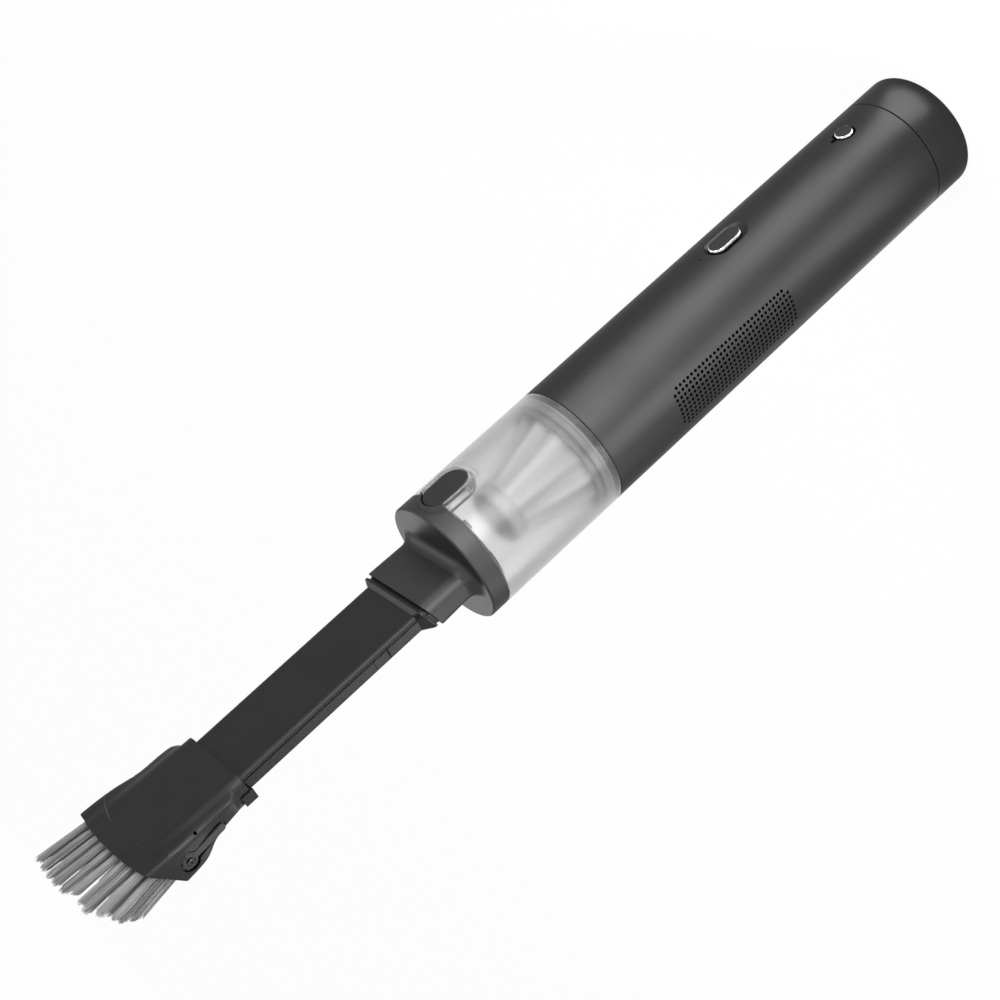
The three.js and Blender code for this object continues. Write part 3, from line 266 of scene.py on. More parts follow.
def frostedClear(name, look):
    material, graph = newMaterial(name)
    place = objectPlace(graph)
    etch = bump(graph, look, noise(graph, place, look["etchScale"], 3.0))
    haze = noise(graph, place, look["hazeScale"], 4.0)
    roughness = look["roughness"] + (haze - 0.5) * look["roughnessSpread"]
    clear = graph.principled({
        "Base Color": graph.mixColour(haze, *look["colours"]), "Roughness": roughness, "Normal": etch,
        "IOR": look["ior"], "Transmission Weight": look["transmission"]})
    milk = graph.principled({
        "Base Color": graph.mixColour(haze, *look["milkColours"]), "Roughness": roughness, "Normal": etch,
        "Specular IOR Level": look["milkSpecular"]})
    slant = graph.node("ShaderNodeLayerWeight", {}, {"Blend": 0.5}, "Facing")  # a longer way through the wall
    share = look["milkShare"] + (haze - 0.5) * look["milkSpread"] + slant ** 2.4 * look["edgeShare"]
    graph.surface(graph.node("ShaderNodeMixShader", {}, {0: share, 1: clear, 2: milk}))
    return material


cupFrost = frostedClear("cupFrost", {
    "colours": (tone(238), tone(248)), "etchScale": 2400.0, "hazeScale": 45.0, "roughness": 0.26,
    "roughnessSpread": 0.05, "bumpStrength": 0.08, "bumpHeight": 0.02, "ior": 1.35, "transmission": 1.0,
    "milkColours": (tone(140), tone(154)), "milkShare": 0.07, "milkSpread": 0.04, "milkSpecular": 0.4,
    "edgeShare": 1.0})


def strandFinish(name, look):
    material, graph = newMaterial(name)
    # the strands' tone is random, with painted shade on each tuft's flanks
    strandTone = graph.node("ShaderNodeAttribute", {"attribute_name": "strandTone"}, {}, "Fac")
    streak = noise(graph, objectPlace(graph), look["streakScale"], 3.0)
    mask = strandTone * 0.75 + streak * 0.25
    graph.surface(graph.principled({
        "Base Color": graph.node("ShaderNodeValToRGB", {"stops": look["stops"]}, {0: mask}),
        "Roughness": look["roughness"] + (streak - 0.5) * look["roughnessSpread"],
        "Normal": bump(graph, look, streak), "Specular IOR Level": look["specular"]}))
    return material


bristleGrey = strandFinish("bristleGrey", {
    "stops": [(0.0, tone(66)), (0.4, tone(128)), (1.0, tone(172))], "streakScale": 700.0, "roughness": 0.55,
    "roughnessSpread": 0.15, "bumpStrength": 0.2, "bumpHeight": 0.02, "specular": 0.4})
print("materials made", len(bpy.data.materials))


# Shapes, in millimetres


def addPiece(name, points, faces, material=None):  # cutters need no material
    mesh = bpy.data.meshes.new(name)
    mesh.from_pydata([Vector(point) * mm for point in points], [], faces)
    shell = bmesh.new()
    shell.from_mesh(mesh)
    bmesh.ops.remove_doubles(shell, verts=shell.verts, dist=1e-7)
    bmesh.ops.recalc_face_normals(shell, faces=shell.faces)
    shell.to_mesh(mesh)
    shell.free()
    if material:
        mesh.materials.append(material)
    piece = bpy.data.objects.new(name, mesh)
    bpy.context.scene.collection.objects.link(piece)
    return piece


def dress(piece, material):
    piece.data.materials.clear()
    piece.data.materials.append(material)


def lathe(profile, segments=192):
    points, faces, rings = [], [], []
    for radius, z in profile:
        if radius <= 0:
            rings.append([len(points)] * segments)
            points.append((0, 0, z))
            continue
        rings.append(list(range(len(points), len(points) + segments)))
        for i in range(segments):
            turn = 2 * math.pi * i / segments
            points.append((radius * math.cos(turn), radius * math.sin(turn), z))
    closed = profile[0][0] > 0
    for low, high in zip(rings, rings[1:] + (rings[:1] if closed else [])):
        for i in range(segments):
            j = (i + 1) % segments
            face = list(dict.fromkeys([low[i], low[j], high[j], high[i]]))
            if len(face) > 2:
                faces.append(face)
    return points, faces


def loft(rings, closed=False):
    count = len(rings[0])
    points = [point for ring in rings for point in ring]
    faces = []
    spans = len(rings) if closed else len(rings) - 1
    for level in range(spans):
        low, high = level * count, (level + 1) % len(rings) * count
        for i in range(count):
            j = (i + 1) % count
            faces.append([low + i, low + j, high + j, high + i])
    if not closed:
        faces.append(list(range(count))[::-1])
        faces.append([count * (len(rings) - 1) + i for i in range(count)])
    return points, faces


def arcPoints(centreX, centreY, radius, start, end, steps):
    turns = [math.radians(start + (end - start) * i / steps) for i in range(steps + 1)]
    return [(centreX + radius * math.cos(turn), centreY + radius * math.sin(turn)) for turn in turns]


def circlePoints(radius, count):
    return arcPoints(0, 0, radius, 0, 360 - 360 / count, count - 1)


def roundedEdge(radius, z, edge, upwards, steps=4):  # the outer edge of a turned profile
    start = 0 if upwards > 0 else -90
    return arcPoints(radius - edge, z - upwards * edge, edge, start, start + 90, steps)


# A stretch above 1 makes the corners longer across than high
def boxOutline(halfX, halfY, corner, steps=6, stretch=1.0):
    high = min(corner, halfX, halfY)
    long = min(corner * stretch, halfX)
    outline = []
    for quarter, (sideX, sideY) in enumerate([(1, 1), (-1, 1), (-1, -1), (1, -1)]):
        outline += [(sideX * (halfX - long) + x * long, sideY * (halfY - high) + y * high)
                    for x, y in arcPoints(0, 0, 1, 90 * quarter, 90 * (quarter + 1), steps)]
    return outline


def stadiumOutline(halfLength, halfWidth, steps=16):  # x across, y along
    run = halfLength - halfWidth
    return arcPoints(0, run, halfWidth, 0, 180, steps) + arcPoints(0, -run, halfWidth, 180, 360, steps)


def upright(outline, z, slope=0, sweep=0, half=1):  # a ring across Z that may slope and sweep
    return [(x, y, z - slope * y - sweep * (x / half) ** 2) for x, y in outline]


def facing(outline, depth, centreZ):  # a ring on the button side: outline y runs along Z
    return [(x, -depth, centreZ + y) for x, y in outline]


def sideRings(outlineAt, levels, centreZ):  # rings on the button side from pairs of inset and depth
    return [facing(outlineAt(inset), depth, centreZ) for inset, depth in levels]


def roundOff(radius, top, angles, inset=0):  # pairs of inset and depth round a cap's upper edge
    turns = [math.radians(angle) for angle in angles]
    return [(inset + radius * (1 - math.cos(turn)), top - radius + radius * math.sin(turn)) for turn in turns]


def boxPiece(name, first, second):  # between two opposite corners
    low, high = zip(*(sorted(pair) for pair in zip(first, second)))
    corners = [(x, y, z) for z in (low[2], high[2]) for y in (low[1], high[1]) for x in (low[0], high[0])]
    faces = [(0, 1, 3, 2), (4, 6, 7, 5), (0, 4, 5, 1), (2, 3, 7, 6), (0, 2, 6, 4), (1, 5, 7, 3)]
    return addPiece(name, corners, faces)


def settle(piece):  # the evaluated mesh replaces the piece's own, and its modifiers go
    bpy.context.view_layer.update()
    evaluated = piece.evaluated_get(bpy.context.evaluated_depsgraph_get())
    mesh = bpy.data.meshes.new_from_object(evaluated)
    mesh.name = piece.name
    piece.modifiers.clear()
    piece.data = mesh
    return piece


def carve(piece, cutters, operation="DIFFERENCE"):
    for cutter in cutters:
        modifier = piece.modifiers.new(operation, "BOOLEAN")
        modifier.operation = operation
        modifier.solver = "EXACT"
        modifier.object = cutter
        settle(piece)
        bpy.data.objects.remove(cutter)
    return piece


def smooth(piece, angle=32):  # weighted by face size, so that flat faces stay flat
    piece.data.shade_smooth()
    piece.data.set_sharp_from_angle(angle=math.radians(angle))
    weighted = piece.modifiers.new("weighted", "WEIGHTED_NORMAL")
    weighted.keep_sharp = True
    weighted.weight = 50
    return settle(piece)


def roundWalls(piece):  # walls round the main axis get exact normals
    smooth(piece)
    mesh = piece.data
    normals = [Vector(corner.vector) for corner in mesh.corner_normals]
    for face in mesh.polygons:
        reaches = [mesh.vertices[corner].co.xy.length for corner in face.vertices]
        if max(reaches) - min(reaches) > 0.05 * mm:
            continue
        middle = Vector((face.center.x, face.center.y, 0)).normalized()
        facingOut = face.normal.dot(middle)
        if abs(facingOut) < 0.9995:
            continue
        for loop in face.loop_indices:
            point = mesh.vertices[mesh.loops[loop].vertex_index].co
            normals[loop] = Vector((point.x, point.y, 0)).normalized() * math.copysign(1, facingOut)
    mesh.normals_split_custom_set(normals)
    return piece


def place(piece, body, node, slot):
    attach(piece, body)
    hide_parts(node)
    return piece


# Geometry trees


def newTree(name, counts, measures):
    tree = bpy.data.node_groups.new(name, "GeometryNodeTree")
    for kind, keys in (("NodeSocketInt", counts), ("NodeSocketFloat", measures)):
        for key in keys:
            tree.interface.new_socket(key, in_out="INPUT", socket_type=kind)
    tree.interface.new_socket("Geometry", in_out="OUTPUT", socket_type="NodeSocketGeometry")
    graph = Graph(tree)
    names = [*counts, *measures]
    return tree, graph, dict(zip(names, graph.node("NodeGroupInput", out=names)))


def grow(name, tree, inputs):  # runs a tree once and keeps its mesh as a plain piece
    piece = bpy.data.objects.new(name, bpy.data.meshes.new(name))
    bpy.context.scene.collection.objects.link(piece)
    modifier = piece.modifiers.new(name, "NODES")
    modifier.node_group = tree
    sockets = {item.name: item.identifier for item in tree.interface.items_tree if item.in_out == "INPUT"}
    for key, value in inputs.items():
        modifier[sockets[key]] = value
    return settle(piece)


def endTree(graph, geometry, material):
    real = graph.node("GeometryNodeRealizeInstances", {}, {"Geometry": geometry})
    dressed = graph.node("GeometryNodeSetMaterial", {}, {"Geometry": real, "Material": material})
    graph.node("NodeGroupOutput", {}, {"Geometry": dressed})


# Main housing with its two perforated fields

outside = 40.0  # clear of every piece to any side
past = 2.0  # how far a cutter goes beyond the wall it opens
housing = {
    "radius": 30.0, "bore": 28.0, "rearZ": 22.8, "frontZ": 238.5, "edgeRound": 0.35, "step": 0.7,
    "stepRise": 0.22, "holeColumns": 31, "holeRows": 9, "holeRearZ": 124.2, "holeFrontZ": 197.8,
    "holeArc": 38.4, "holeRadius": 0.8, "dishRearZ": 113.2, "dishFrontZ": 137.2, "dishHalfWidth": 7.4,
    "dishDepth": 1.7,
}
lamp = {"centreZ": 142.0, "hole": 0.75, "radius": 0.6, "low": 19.2, "top": 29.78}


def perforationTree():
    tree, graph, wires = newTree("perforations", ("columns", "rows"), (
        "firstZ", "pitch", "arcStep", "ringRadius", "holeRadius", "depth"))
    columns, rows = wires["columns"], wires["rows"]
    index = graph.node("GeometryNodeInputIndex")
    perSide = columns * rows
    side = graph.calc("FLOOR", index / perSide)
    local = index - side * perSide
    column = graph.calc("FLOOR", local / rows)
    row = local - column * rows
    angle = (row - (rows - 1) * 0.5) * wires["arcStep"] + side * math.pi
    x = graph.calc("COSINE", angle) * wires["ringRadius"]
    y = graph.calc("SINE", angle) * wires["ringRadius"]
    z = wires["firstZ"] + column * wires["pitch"]
    endColumn = (column < 0.5) + (column > columns - 1.5)
    endRow = (row < 0.5) + (row > rows - 1.5)
    dots = graph.node("GeometryNodePoints", {}, {"Count": perSide * 2, "Position": graph.vector(x, y, z)})
    kept = graph.node("GeometryNodeDeleteGeometry", {"domain": "POINT"}, {  # the field's corners stay closed
        "Geometry": dots, "Selection": endColumn * endRow > 0.5})
    pin = graph.node("GeometryNodeMeshCylinder", {"fill_type": "NGON"}, {
        "Vertices": 14, "Radius": wires["holeRadius"], "Depth": wires["depth"]})
    position = graph.node("GeometryNodeInputPosition")
    across, along = graph.node("ShaderNodeSeparateXYZ", {}, {0: position}, [0, 1])
    turn = graph.vector(0.0, math.pi / 2, graph.calc("ARCTAN2", along, across))
    pins = graph.node("GeometryNodeInstanceOnPoints", {}, {"Points": kept, "Instance": pin, "Rotation": turn})
    endTree(graph, pins, bodyPaint)
    return tree


def perforationPins():
    columns, rows = housing["holeColumns"], housing["holeRows"]
    return grow("perforationPins", perforationTree(), {
        "columns": columns, "rows": rows, "firstZ": housing["holeRearZ"] * mm,
        "pitch": (housing["holeFrontZ"] - housing["holeRearZ"]) / (columns - 1) * mm,
        "arcStep": math.radians(housing["holeArc"] / (rows - 1)),
        "ringRadius": (housing["radius"] + housing["bore"]) / 2 * mm,
        "holeRadius": housing["holeRadius"] * mm, "depth": (housing["radius"] - housing["bore"] + past) * mm})


power = {
    "centreZ": 126.3, "halfLength": 9.0, "halfWidth": 4.4, "gap": 0.55, "top": 30.6, "rimWidth": 0.8,
    "rimHeight": 1.5, "lip": 0.2, "flangeMargin": 1.9, "flangeLow": 25.0, "flangeHigh": 26.4,
}
plug = {
    "centreZ": 44.2, "radius": 4.4, "holeRadius": 5.4, "top": 30.7, "rimWidth": 0.8, "rimHeight": 1.4,
    "lip": 0.2, "seat": 27.2, "chamfer": 0.6, "notchHalfWidth": 1.1, "notchLength": 3.2, "notchDepth": 1.3,
    "stubRadius": 1.1, "stubReach": 2.8, "stubLow": 23.6,
}


def dishCutter():  # the finger scoop round the power button, deeper towards its middle
    holeLength, holeWidth = power["halfLength"] + power["gap"], power["halfWidth"] + power["gap"]
    scoopLength = (housing["dishFrontZ"] - housing["dishRearZ"]) / 2
    scoopMiddle = (housing["dishFrontZ"] + housing["dishRearZ"]) / 2
    rings = [facing(stadiumOutline(holeLength, holeWidth), housing["bore"] - past, power["centreZ"])]
    levels = 8
    for i in range(levels + 1):
        share = i / levels
        centre = power["centreZ"] + (scoopMiddle - power["centreZ"]) * share
        outline = stadiumOutline(holeLength + (scoopLength - holeLength) * share,
                                 holeWidth + (housing["dishHalfWidth"] - holeWidth) * share)
        depth = housing["radius"] - housing["dishDepth"] * math.cos(share * math.pi / 2)
        rings.append(facing(outline, depth, centre))
    rings.append(facing(stadiumOutline(scoopLength + 1, housing["dishHalfWidth"] + 1), housing["radius"] + 1.2,
                        scoopMiddle))
    return addPiece("dishCutter", *loft(rings))


def portCutter():
    skin, chamfer = housing["radius"], plug["chamfer"]
    outlineAt = lambda grown: circlePoints(plug["holeRadius"] + grown, 48)
    levels = [(0, housing["bore"] - past), (0, skin - chamfer), (2 * chamfer, skin + chamfer)]
    return addPiece("portCutter", *loft(sideRings(outlineAt, levels, plug["centreZ"])))


def notchCutter():
    halfLength = plug["notchLength"] / 2 + 1.6
    centre = plug["centreZ"] + plug["holeRadius"] + plug["notchLength"] - halfLength
    outline = stadiumOutline(halfLength, plug["notchHalfWidth"], 8)
    return addPiece("notchCutter", *loft([facing(outline, housing["radius"] - plug["notchDepth"], centre),
                                          facing(outline, housing["radius"] + past, centre)]))


def lampCutter():
    outline = circlePoints(lamp["hole"], 20)
    return addPiece("lampCutter", *loft([facing(outline, housing["bore"] - past, lamp["centreZ"]),
                                         facing(outline, housing["radius"] + past, lamp["centreZ"])]))


def mainHousing():
    outer, inner, edge, top = housing["radius"], housing["bore"], housing["edgeRound"], housing["frontZ"]
    profile = roundedEdge(outer, housing["rearZ"], edge, -1) + roundedEdge(outer, top, edge, 1)
    profile += [(outer - housing["step"], top), (outer - housing["step"], top + housing["stepRise"]),
                (inner, top + housing["stepRise"]), (inner, housing["rearZ"])]
    piece = addPiece("housingShell", *lathe(profile), bodyPaint)
    carve(piece, [dishCutter(), portCutter(), notchCutter(), lampCutter(), perforationPins()])
    roundWalls(piece)
    return place(piece, "body", "main_housing", "housing")


mainHousing()
print("housing made")


# Rear cap

rearEnd = {"radius": 30.0, "edge": 2.2, "seamZ": 22.8, "seamGap": 0.4, "spigot": 27.7, "spigotWall": 2.0,
           "spigotZ": 30.4, "floor": 2.4, "seamRound": 0.3}


def rearCap():
    radius, edge, floor = rearEnd["radius"], rearEnd["edge"], rearEnd["floor"]
    top = rearEnd["seamZ"] - rearEnd["seamGap"]
    inner = rearEnd["spigot"] - rearEnd["spigotWall"]
    profile = [(0, 0), (radius - edge - 2, 0)] + arcPoints(radius - edge, edge, edge, -90, 0, 10)
    profile += roundedEdge(radius, top, rearEnd["seamRound"], 1)
    profile += [(rearEnd["spigot"], top), (rearEnd["spigot"], rearEnd["spigotZ"]), (inner, rearEnd["spigotZ"]),
                (inner, floor + 2), (inner - 2, floor), (0, floor)]
    piece = smooth(addPiece("rearCap", *lathe(profile), bodyPaint))
    return place(piece, "body", "rear_cap", "housing")


rearCap()


# Power button, lamp and charging plug

capEdge = {"rimGap": 0.06, "inset": 0.5, "round": 0.24, "crown": ((1.4, 0.03), (2.8, 0.12))}
rimSection = ((0, 0.62), (0.03, 0.54), (0.42, 0.05), (0.5, 0))  # inset and drop of the rim's bevelled edge


def powerOutline(shrink):
    return stadiumOutline(power["halfLength"] - shrink, power["halfWidth"] - shrink, 20)


def plugOutline(shrink):
    return circlePoints(plug["radius"] - shrink, 48)


def capLevels(seat, key):  # a cap that stands inside its bevelled rim
    top, inset = key["top"], key["rimWidth"] + capEdge["rimGap"]
    low, high = top - key["rimHeight"], top - key["lip"]
    levels = [(0, seat), (0, low), (inset, low), (inset, high), (capEdge["inset"], high),
              (capEdge["inset"], top - capEdge["round"])]
    levels += roundOff(capEdge["round"], top, (22, 45, 68, 90), capEdge["inset"])
    return levels + [(inset, top - drop) for inset, drop in capEdge["crown"]]


def powerButton():
    margin, low, high = -power["flangeMargin"], power["flangeLow"], power["flangeHigh"]
    levels = [(margin, low), (margin, high)] + capLevels(high, power)
    rings = sideRings(powerOutline, levels, power["centreZ"])
    piece = smooth(addPiece("powerButton", *loft(rings), buttonDark))
    return place(piece, "power_key", "power_button", "button_plastic")


def rimRing(name, outlineAt, key, body, node):  # a bright ring with a bevelled edge
    top = key["top"] - key["lip"] - 0.02
    low = top - (key["rimHeight"] - key["lip"]) + 0.05
    section = [(0, low)] + [(inset, top - drop) for inset, drop in rimSection]
    section += [(key["rimWidth"], top), (key["rimWidth"], low)]
    rings = sideRings(outlineAt, section, key["centreZ"])
    piece = smooth(addPiece(name, *loft(rings, closed=True), brightTrim), 50)
    return place(piece, body, node, "bright_trim")


def chargePlug():
    rings = sideRings(plugOutline, capLevels(plug["seat"], plug), plug["centreZ"])
    piece = smooth(addPiece("portPlug", *loft(rings), buttonDark))
    stub = [(x + math.copysign(plug["stubReach"], x), y)
            for x, y in stadiumOutline(plug["stubRadius"], plug["stubRadius"], 6)]
    carve(piece, [addPiece("plugStub", *loft([facing(stub, plug["stubLow"], plug["centreZ"]),
                                              facing(stub, plug["seat"] + 0.5, plug["centreZ"])]))], "UNION")
    smooth(piece)
    return place(piece, "port_plug", "charge_plug", "button_plastic")


def lampLens():
    top = lamp["top"]
    levels = [(0, lamp["low"]), (0, top - 0.23), (0.1, top - 0.1), (0.3, top)]
    rings = sideRings(lambda shrink: circlePoints(lamp["radius"] - shrink, 24), levels, lamp["centreZ"])
    piece = smooth(addPiece("lampLens", *loft(rings), lampDark), 60)
    return place(piece, "body", "lamp_lens", "white_lens")


powerButton()
rimRing("powerRim", powerOutline, power, "power_key", "power_button_trim")
chargePlug()
rimRing("portPlugRim", plugOutline, plug, "port_plug", "charge_plug_trim")
lampLens()
print("buttons and plug made")

# Dust cup with the rear half of the release pocket

cup = {
    "radius": 30.0, "bore": 28.2, "rearZ": 230.0, "seamZ": 238.5, "seamGap": 0.3, "frontZ": 307.1,
    "spigot": 27.7, "spigotBore": 26.0, "groove": 26.7, "grooveLow": 234.0, "grooveHigh": 235.6,
    "floorZ": 240.6, "floorRound": 0.8, "edge": 0.25, "gateEnd": 320.0, "behind": 200.0,
}
pocket = {
    "centreZ": 300.0, "halfLength": 11.6, "halfWidth": 7.25, "base": 27.6, "baseMargin": 4.0, "top": 31.5,
    "topMargin": 1.0, "wall": 1.2, "low": 25.9, "floor": 1.0, "wellTop": 29.5, "sag": 0.35, "bevel": 0.25,
}


def pocketOutline(margin):
    return stadiumOutline(pocket["halfLength"] + margin, pocket["halfWidth"] + margin, 24)


def pocketDome():
    base, top, margin, foot = pocket["base"], pocket["top"], pocket["topMargin"], pocket["baseMargin"]
    levels = [(foot, base)]
    for share in (0.3, 0.5, 0.7, 0.85):  # a slightly hollow flank
        sag = pocket["sag"] * math.sin(math.pi * share)
        levels.append((foot + (margin - foot) * share - sag, base + (top - base) * share))
    levels += [(margin + 0.12, top - 0.3), (margin, top - 0.1), (margin - 0.15, top)]
    dome = addPiece("pocketDome", *loft(sideRings(pocketOutline, levels, pocket["centreZ"])), cupFrost)
    wellLevels = [(pocket["wall"], pocket["low"] - pocket["floor"]), (pocket["wall"], pocket["wellTop"])]
    well = addPiece("pocketWell", *loft(sideRings(pocketOutline, wellLevels, pocket["centreZ"])))
    return carve(dome, [well], "UNION")


def pocketHollow():
    top, bevel = pocket["top"], pocket["bevel"]
    levels = [(0, pocket["low"]), (0, top - 0.15), (bevel, top + 0.1), (bevel, top + 3)]
    return addPiece("pocketHollow", *loft(sideRings(pocketOutline, levels, pocket["centreZ"])))


def dustCup():
    edge, spigot, groove = cup["edge"], cup["spigot"], cup["groove"]
    floor, soft = cup["floorZ"], cup["floorRound"]
    low = cup["seamZ"] + cup["seamGap"]
    profile = [(cup["spigotBore"], cup["rearZ"]), (spigot - edge, cup["rearZ"]), (spigot, cup["rearZ"] + edge),
               (spigot, cup["grooveLow"]), (groove, cup["grooveLow"]), (groove, cup["grooveHigh"]),
               (spigot, cup["grooveHigh"]), (spigot, low)]
    profile += roundedEdge(cup["radius"], low, edge, -1) + roundedEdge(cup["radius"], cup["frontZ"], edge, 1)
    profile += [(cup["bore"], cup["frontZ"]), (cup["bore"], floor + soft), (cup["bore"] - soft, floor),
                (cup["spigotBore"], low)]
    piece = addPiece("dustCupShell", *lathe(profile), cupFrost)
    dome = pocketDome()
    behind = boxPiece("behindSeam", (-outside, -outside, cup["behind"]), (outside, outside, cup["frontZ"]))
    carve(dome, [behind], "INTERSECT")
    carve(piece, [dome], "UNION")
    gate = boxPiece("pocketGate", (-pocket["halfWidth"], -outside, pocket["centreZ"]),
                    (pocket["halfWidth"], -pocket["low"], cup["gateEnd"]))
    carve(piece, [pocketHollow(), gate])
    roundWalls(piece)
    return place(piece, "cup", "dust_cup", "clear_cup")


dustCup()

# Filter: band, pleated cone and end cap

strainer = {
    "bandBore": 20.5, "bandRadius": 27.9, "bandLow": 240.9, "bandHigh": 245.6, "bandRound": 0.4,
    "rearRadius": 24.2, "frontRadius": 14.2, "rearZ": 245.6, "frontZ": 279.4, "pleats": 12, "pleatDepth": 3.0,
    "pleatFade": 0.35, "wall": 0.6, "capRadius": 14.0, "capHigh": 287.2, "capRound": 2.4,
}
# Grooves as depth and rise, the collar ahead of the band as radius and rise
bandGroove = ((0, 1.6), (0.5, 1.9), (0.5, 2.7), (0, 3.0))
bandCollar = ((25.2, 0), (25.0, 2.3), (24.75, 2.6), (24.35, 2.6), (24.35, 0))
capGroove = ((0, 0), (0, 1.2), (0.5, 1.5), (0.5, 2.1), (0, 2.4))


def filterBand():
    low, high, outer = strainer["bandLow"], strainer["bandHigh"], strainer["bandRadius"]
    profile = roundedEdge(outer, low, strainer["bandRound"], -1)
    profile += [(outer - depth, low + rise) for depth, rise in bandGroove]
    profile += roundedEdge(outer, high, strainer["bandRound"], 1)
    profile += [(radius, high + rise) for radius, rise in bandCollar]
    profile += [(strainer["bandBore"], high), (strainer["bandBore"], low)]
    piece = smooth(addPiece("filterBand", *lathe(profile, 160), bandGrey))
    return place(piece, "filter", "filter_band", "filter_frame")


def coneAt(share):  # the cone's radius and the depth of its pleats
    radius = strainer["rearRadius"] + (strainer["frontRadius"] - strainer["rearRadius"]) * share
    return radius, strainer["pleatDepth"] * (1 - strainer["pleatFade"] * share)


def filterCone():
    steps, count = 12, strainer["pleats"] * 16
    length = strainer["frontZ"] - strainer["rearZ"]
    outer, inner = [], []
    for level in range(steps + 1):
        radius, depth = coneAt(level / steps)
        z = strainer["rearZ"] + length * level / steps
        ringOut, ringIn = [], []
        for i in range(count):
            turn = 2 * math.pi * i / count
            fold = 0.5 - 0.5 * math.cos(turn * strainer["pleats"])
            reach = radius - depth * fold ** 0.8
            for ring, extra in ((ringOut, 0), (ringIn, strainer["wall"])):
                ring.append(((reach - extra) * math.cos(turn), (reach - extra) * math.sin(turn), z))
        outer.append(ringOut)
        inner.append(ringIn)
    piece = smooth(addPiece("filterCone", *loft(outer + inner[::-1], closed=True), filterCloth), 60)
    folds = piece.data.attributes.new("foldShade", "FLOAT", "POINT")  # how deep each point lies in its pleat, which darkens the cloth's colour as painted shade
    for vertex in piece.data.vertices:
        x, y, z = vertex.co / mm
        radius, depth = coneAt((z - strainer["rearZ"]) / length)
        folds.data[vertex.index].value = portion(radius - math.hypot(x, y), 0, depth)
    return place(piece, "filter", "filter_media", "filter_cloth")


def filterEnd():
    radius, rear, high, soft = (strainer[key] for key in ("capRadius", "frontZ", "capHigh", "capRound"))
    profile = [(0, rear)] + [(radius - depth, rear + rise) for depth, rise in capGroove]
    profile += arcPoints(radius - soft, high - soft, soft, 0, 90, 8)
    profile += [(4, high), (3.2, high - 0.5), (0, high - 0.5)]
    piece = smooth(addPiece("filterEnd", *lathe(profile, 128), filterFrame))
    return place(piece, "filter", "filter_cap", "filter_frame")


filterBand()
filterCone()
filterEnd()
print("cup and filter made")

# Front cover with its spout, and the release button

front = {
    "radius": 30.0, "seamZ": 307.4, "faceZ": 316.5, "edge": 1.0, "seamRound": 0.25, "spigot": 27.9,
    "spigotBore": 25.9, "spigotZ": 305.9, "plate": 2.2, "gateHalfWidth": 8.9, "gateDepth": 20.6, "skin": 29.99,
    "halfWidth": 22.0, "halfHeight": 7.7, "flare": 0.35, "corner": 4.6, "wall": 1.6, "mouthZ": 339.1,
    "slope": 0.3, "fillet": 5.5, "boreCorner": 3.2, "stretch": 1.5,
    "lugs": ((-11, 5, 304.7), (31, 13, 305.6)), "lugBore": 26.4, "lugGap": 0.05, "lugRoot": 0.5,
    "lugBevel": ((1.6, 0), (0.6, 0.2), (0, 0.7)), "mouthRound": ((0, 0.35), (0.1, 0.1), (0.35, 0)),
    "gateRear": 290.0, "throatLength": 10.0, "throatEnd": 360.0,
}
release = {"centreZ": 300.0, "halfLength": 11.15, "halfWidth": 6.8, "top": 31.2, "low": 28.2, "crown": 0.7}
cameraTurn = 48  # degrees from the button side to the side that faces the camera


def coverLug(angle, halfSpan, low):  # a catch on the spigot, angle from the side that faces the camera
    middle = 90 + cameraTurn + angle
    rings = []
    levels = [(inset, low + rise) for inset, rise in front["lugBevel"]]
    for inset, z in levels + [(0, front["seamZ"] + front["lugRoot"])]:
        reach = halfSpan - inset
        skin = front["spigot"] - front["lugGap"] - inset * 0.1
        outline = arcPoints(0, 0, skin, middle - reach, middle + reach, 10)
        outline += arcPoints(0, 0, front["lugBore"], middle + reach, middle - reach, 10)
        rings.append([(x, -y, z) for x, y in outline])
    return addPiece("coverLug", *loft(rings))


def mouthOutline(grown):
    return boxOutline(front["halfWidth"] + grown, front["halfHeight"] + grown, front["corner"] + grown, 12,
                      front["stretch"])


def filletOutline(grown):  # the spout stands a little slimmer on its fillet than at its mouth
    slim = grown - front["flare"]
    return boxOutline(front["halfWidth"] + slim, front["halfHeight"] + slim, front["corner"] + grown, 12,
                      front["stretch"])


def spoutPiece():
    face, fillet, mouth = front["faceZ"], front["fillet"], front["mouthZ"]
    rings = [upright(filletOutline(fillet), face - front["plate"] / 2)]
    steps = 14
    for i in range(steps + 1):
        turn = math.pi / 2 * i / steps
        rings.append(upright(filletOutline(fillet * (1 - math.sin(turn))),
                             face - 0.006 + fillet * (1 - math.cos(turn))))
    for shrink, back in front["mouthRound"]:
        rings.append(upright(mouthOutline(-shrink), mouth - back, front["slope"]))
    return addPiece("spout", *loft(rings), coverPaint)


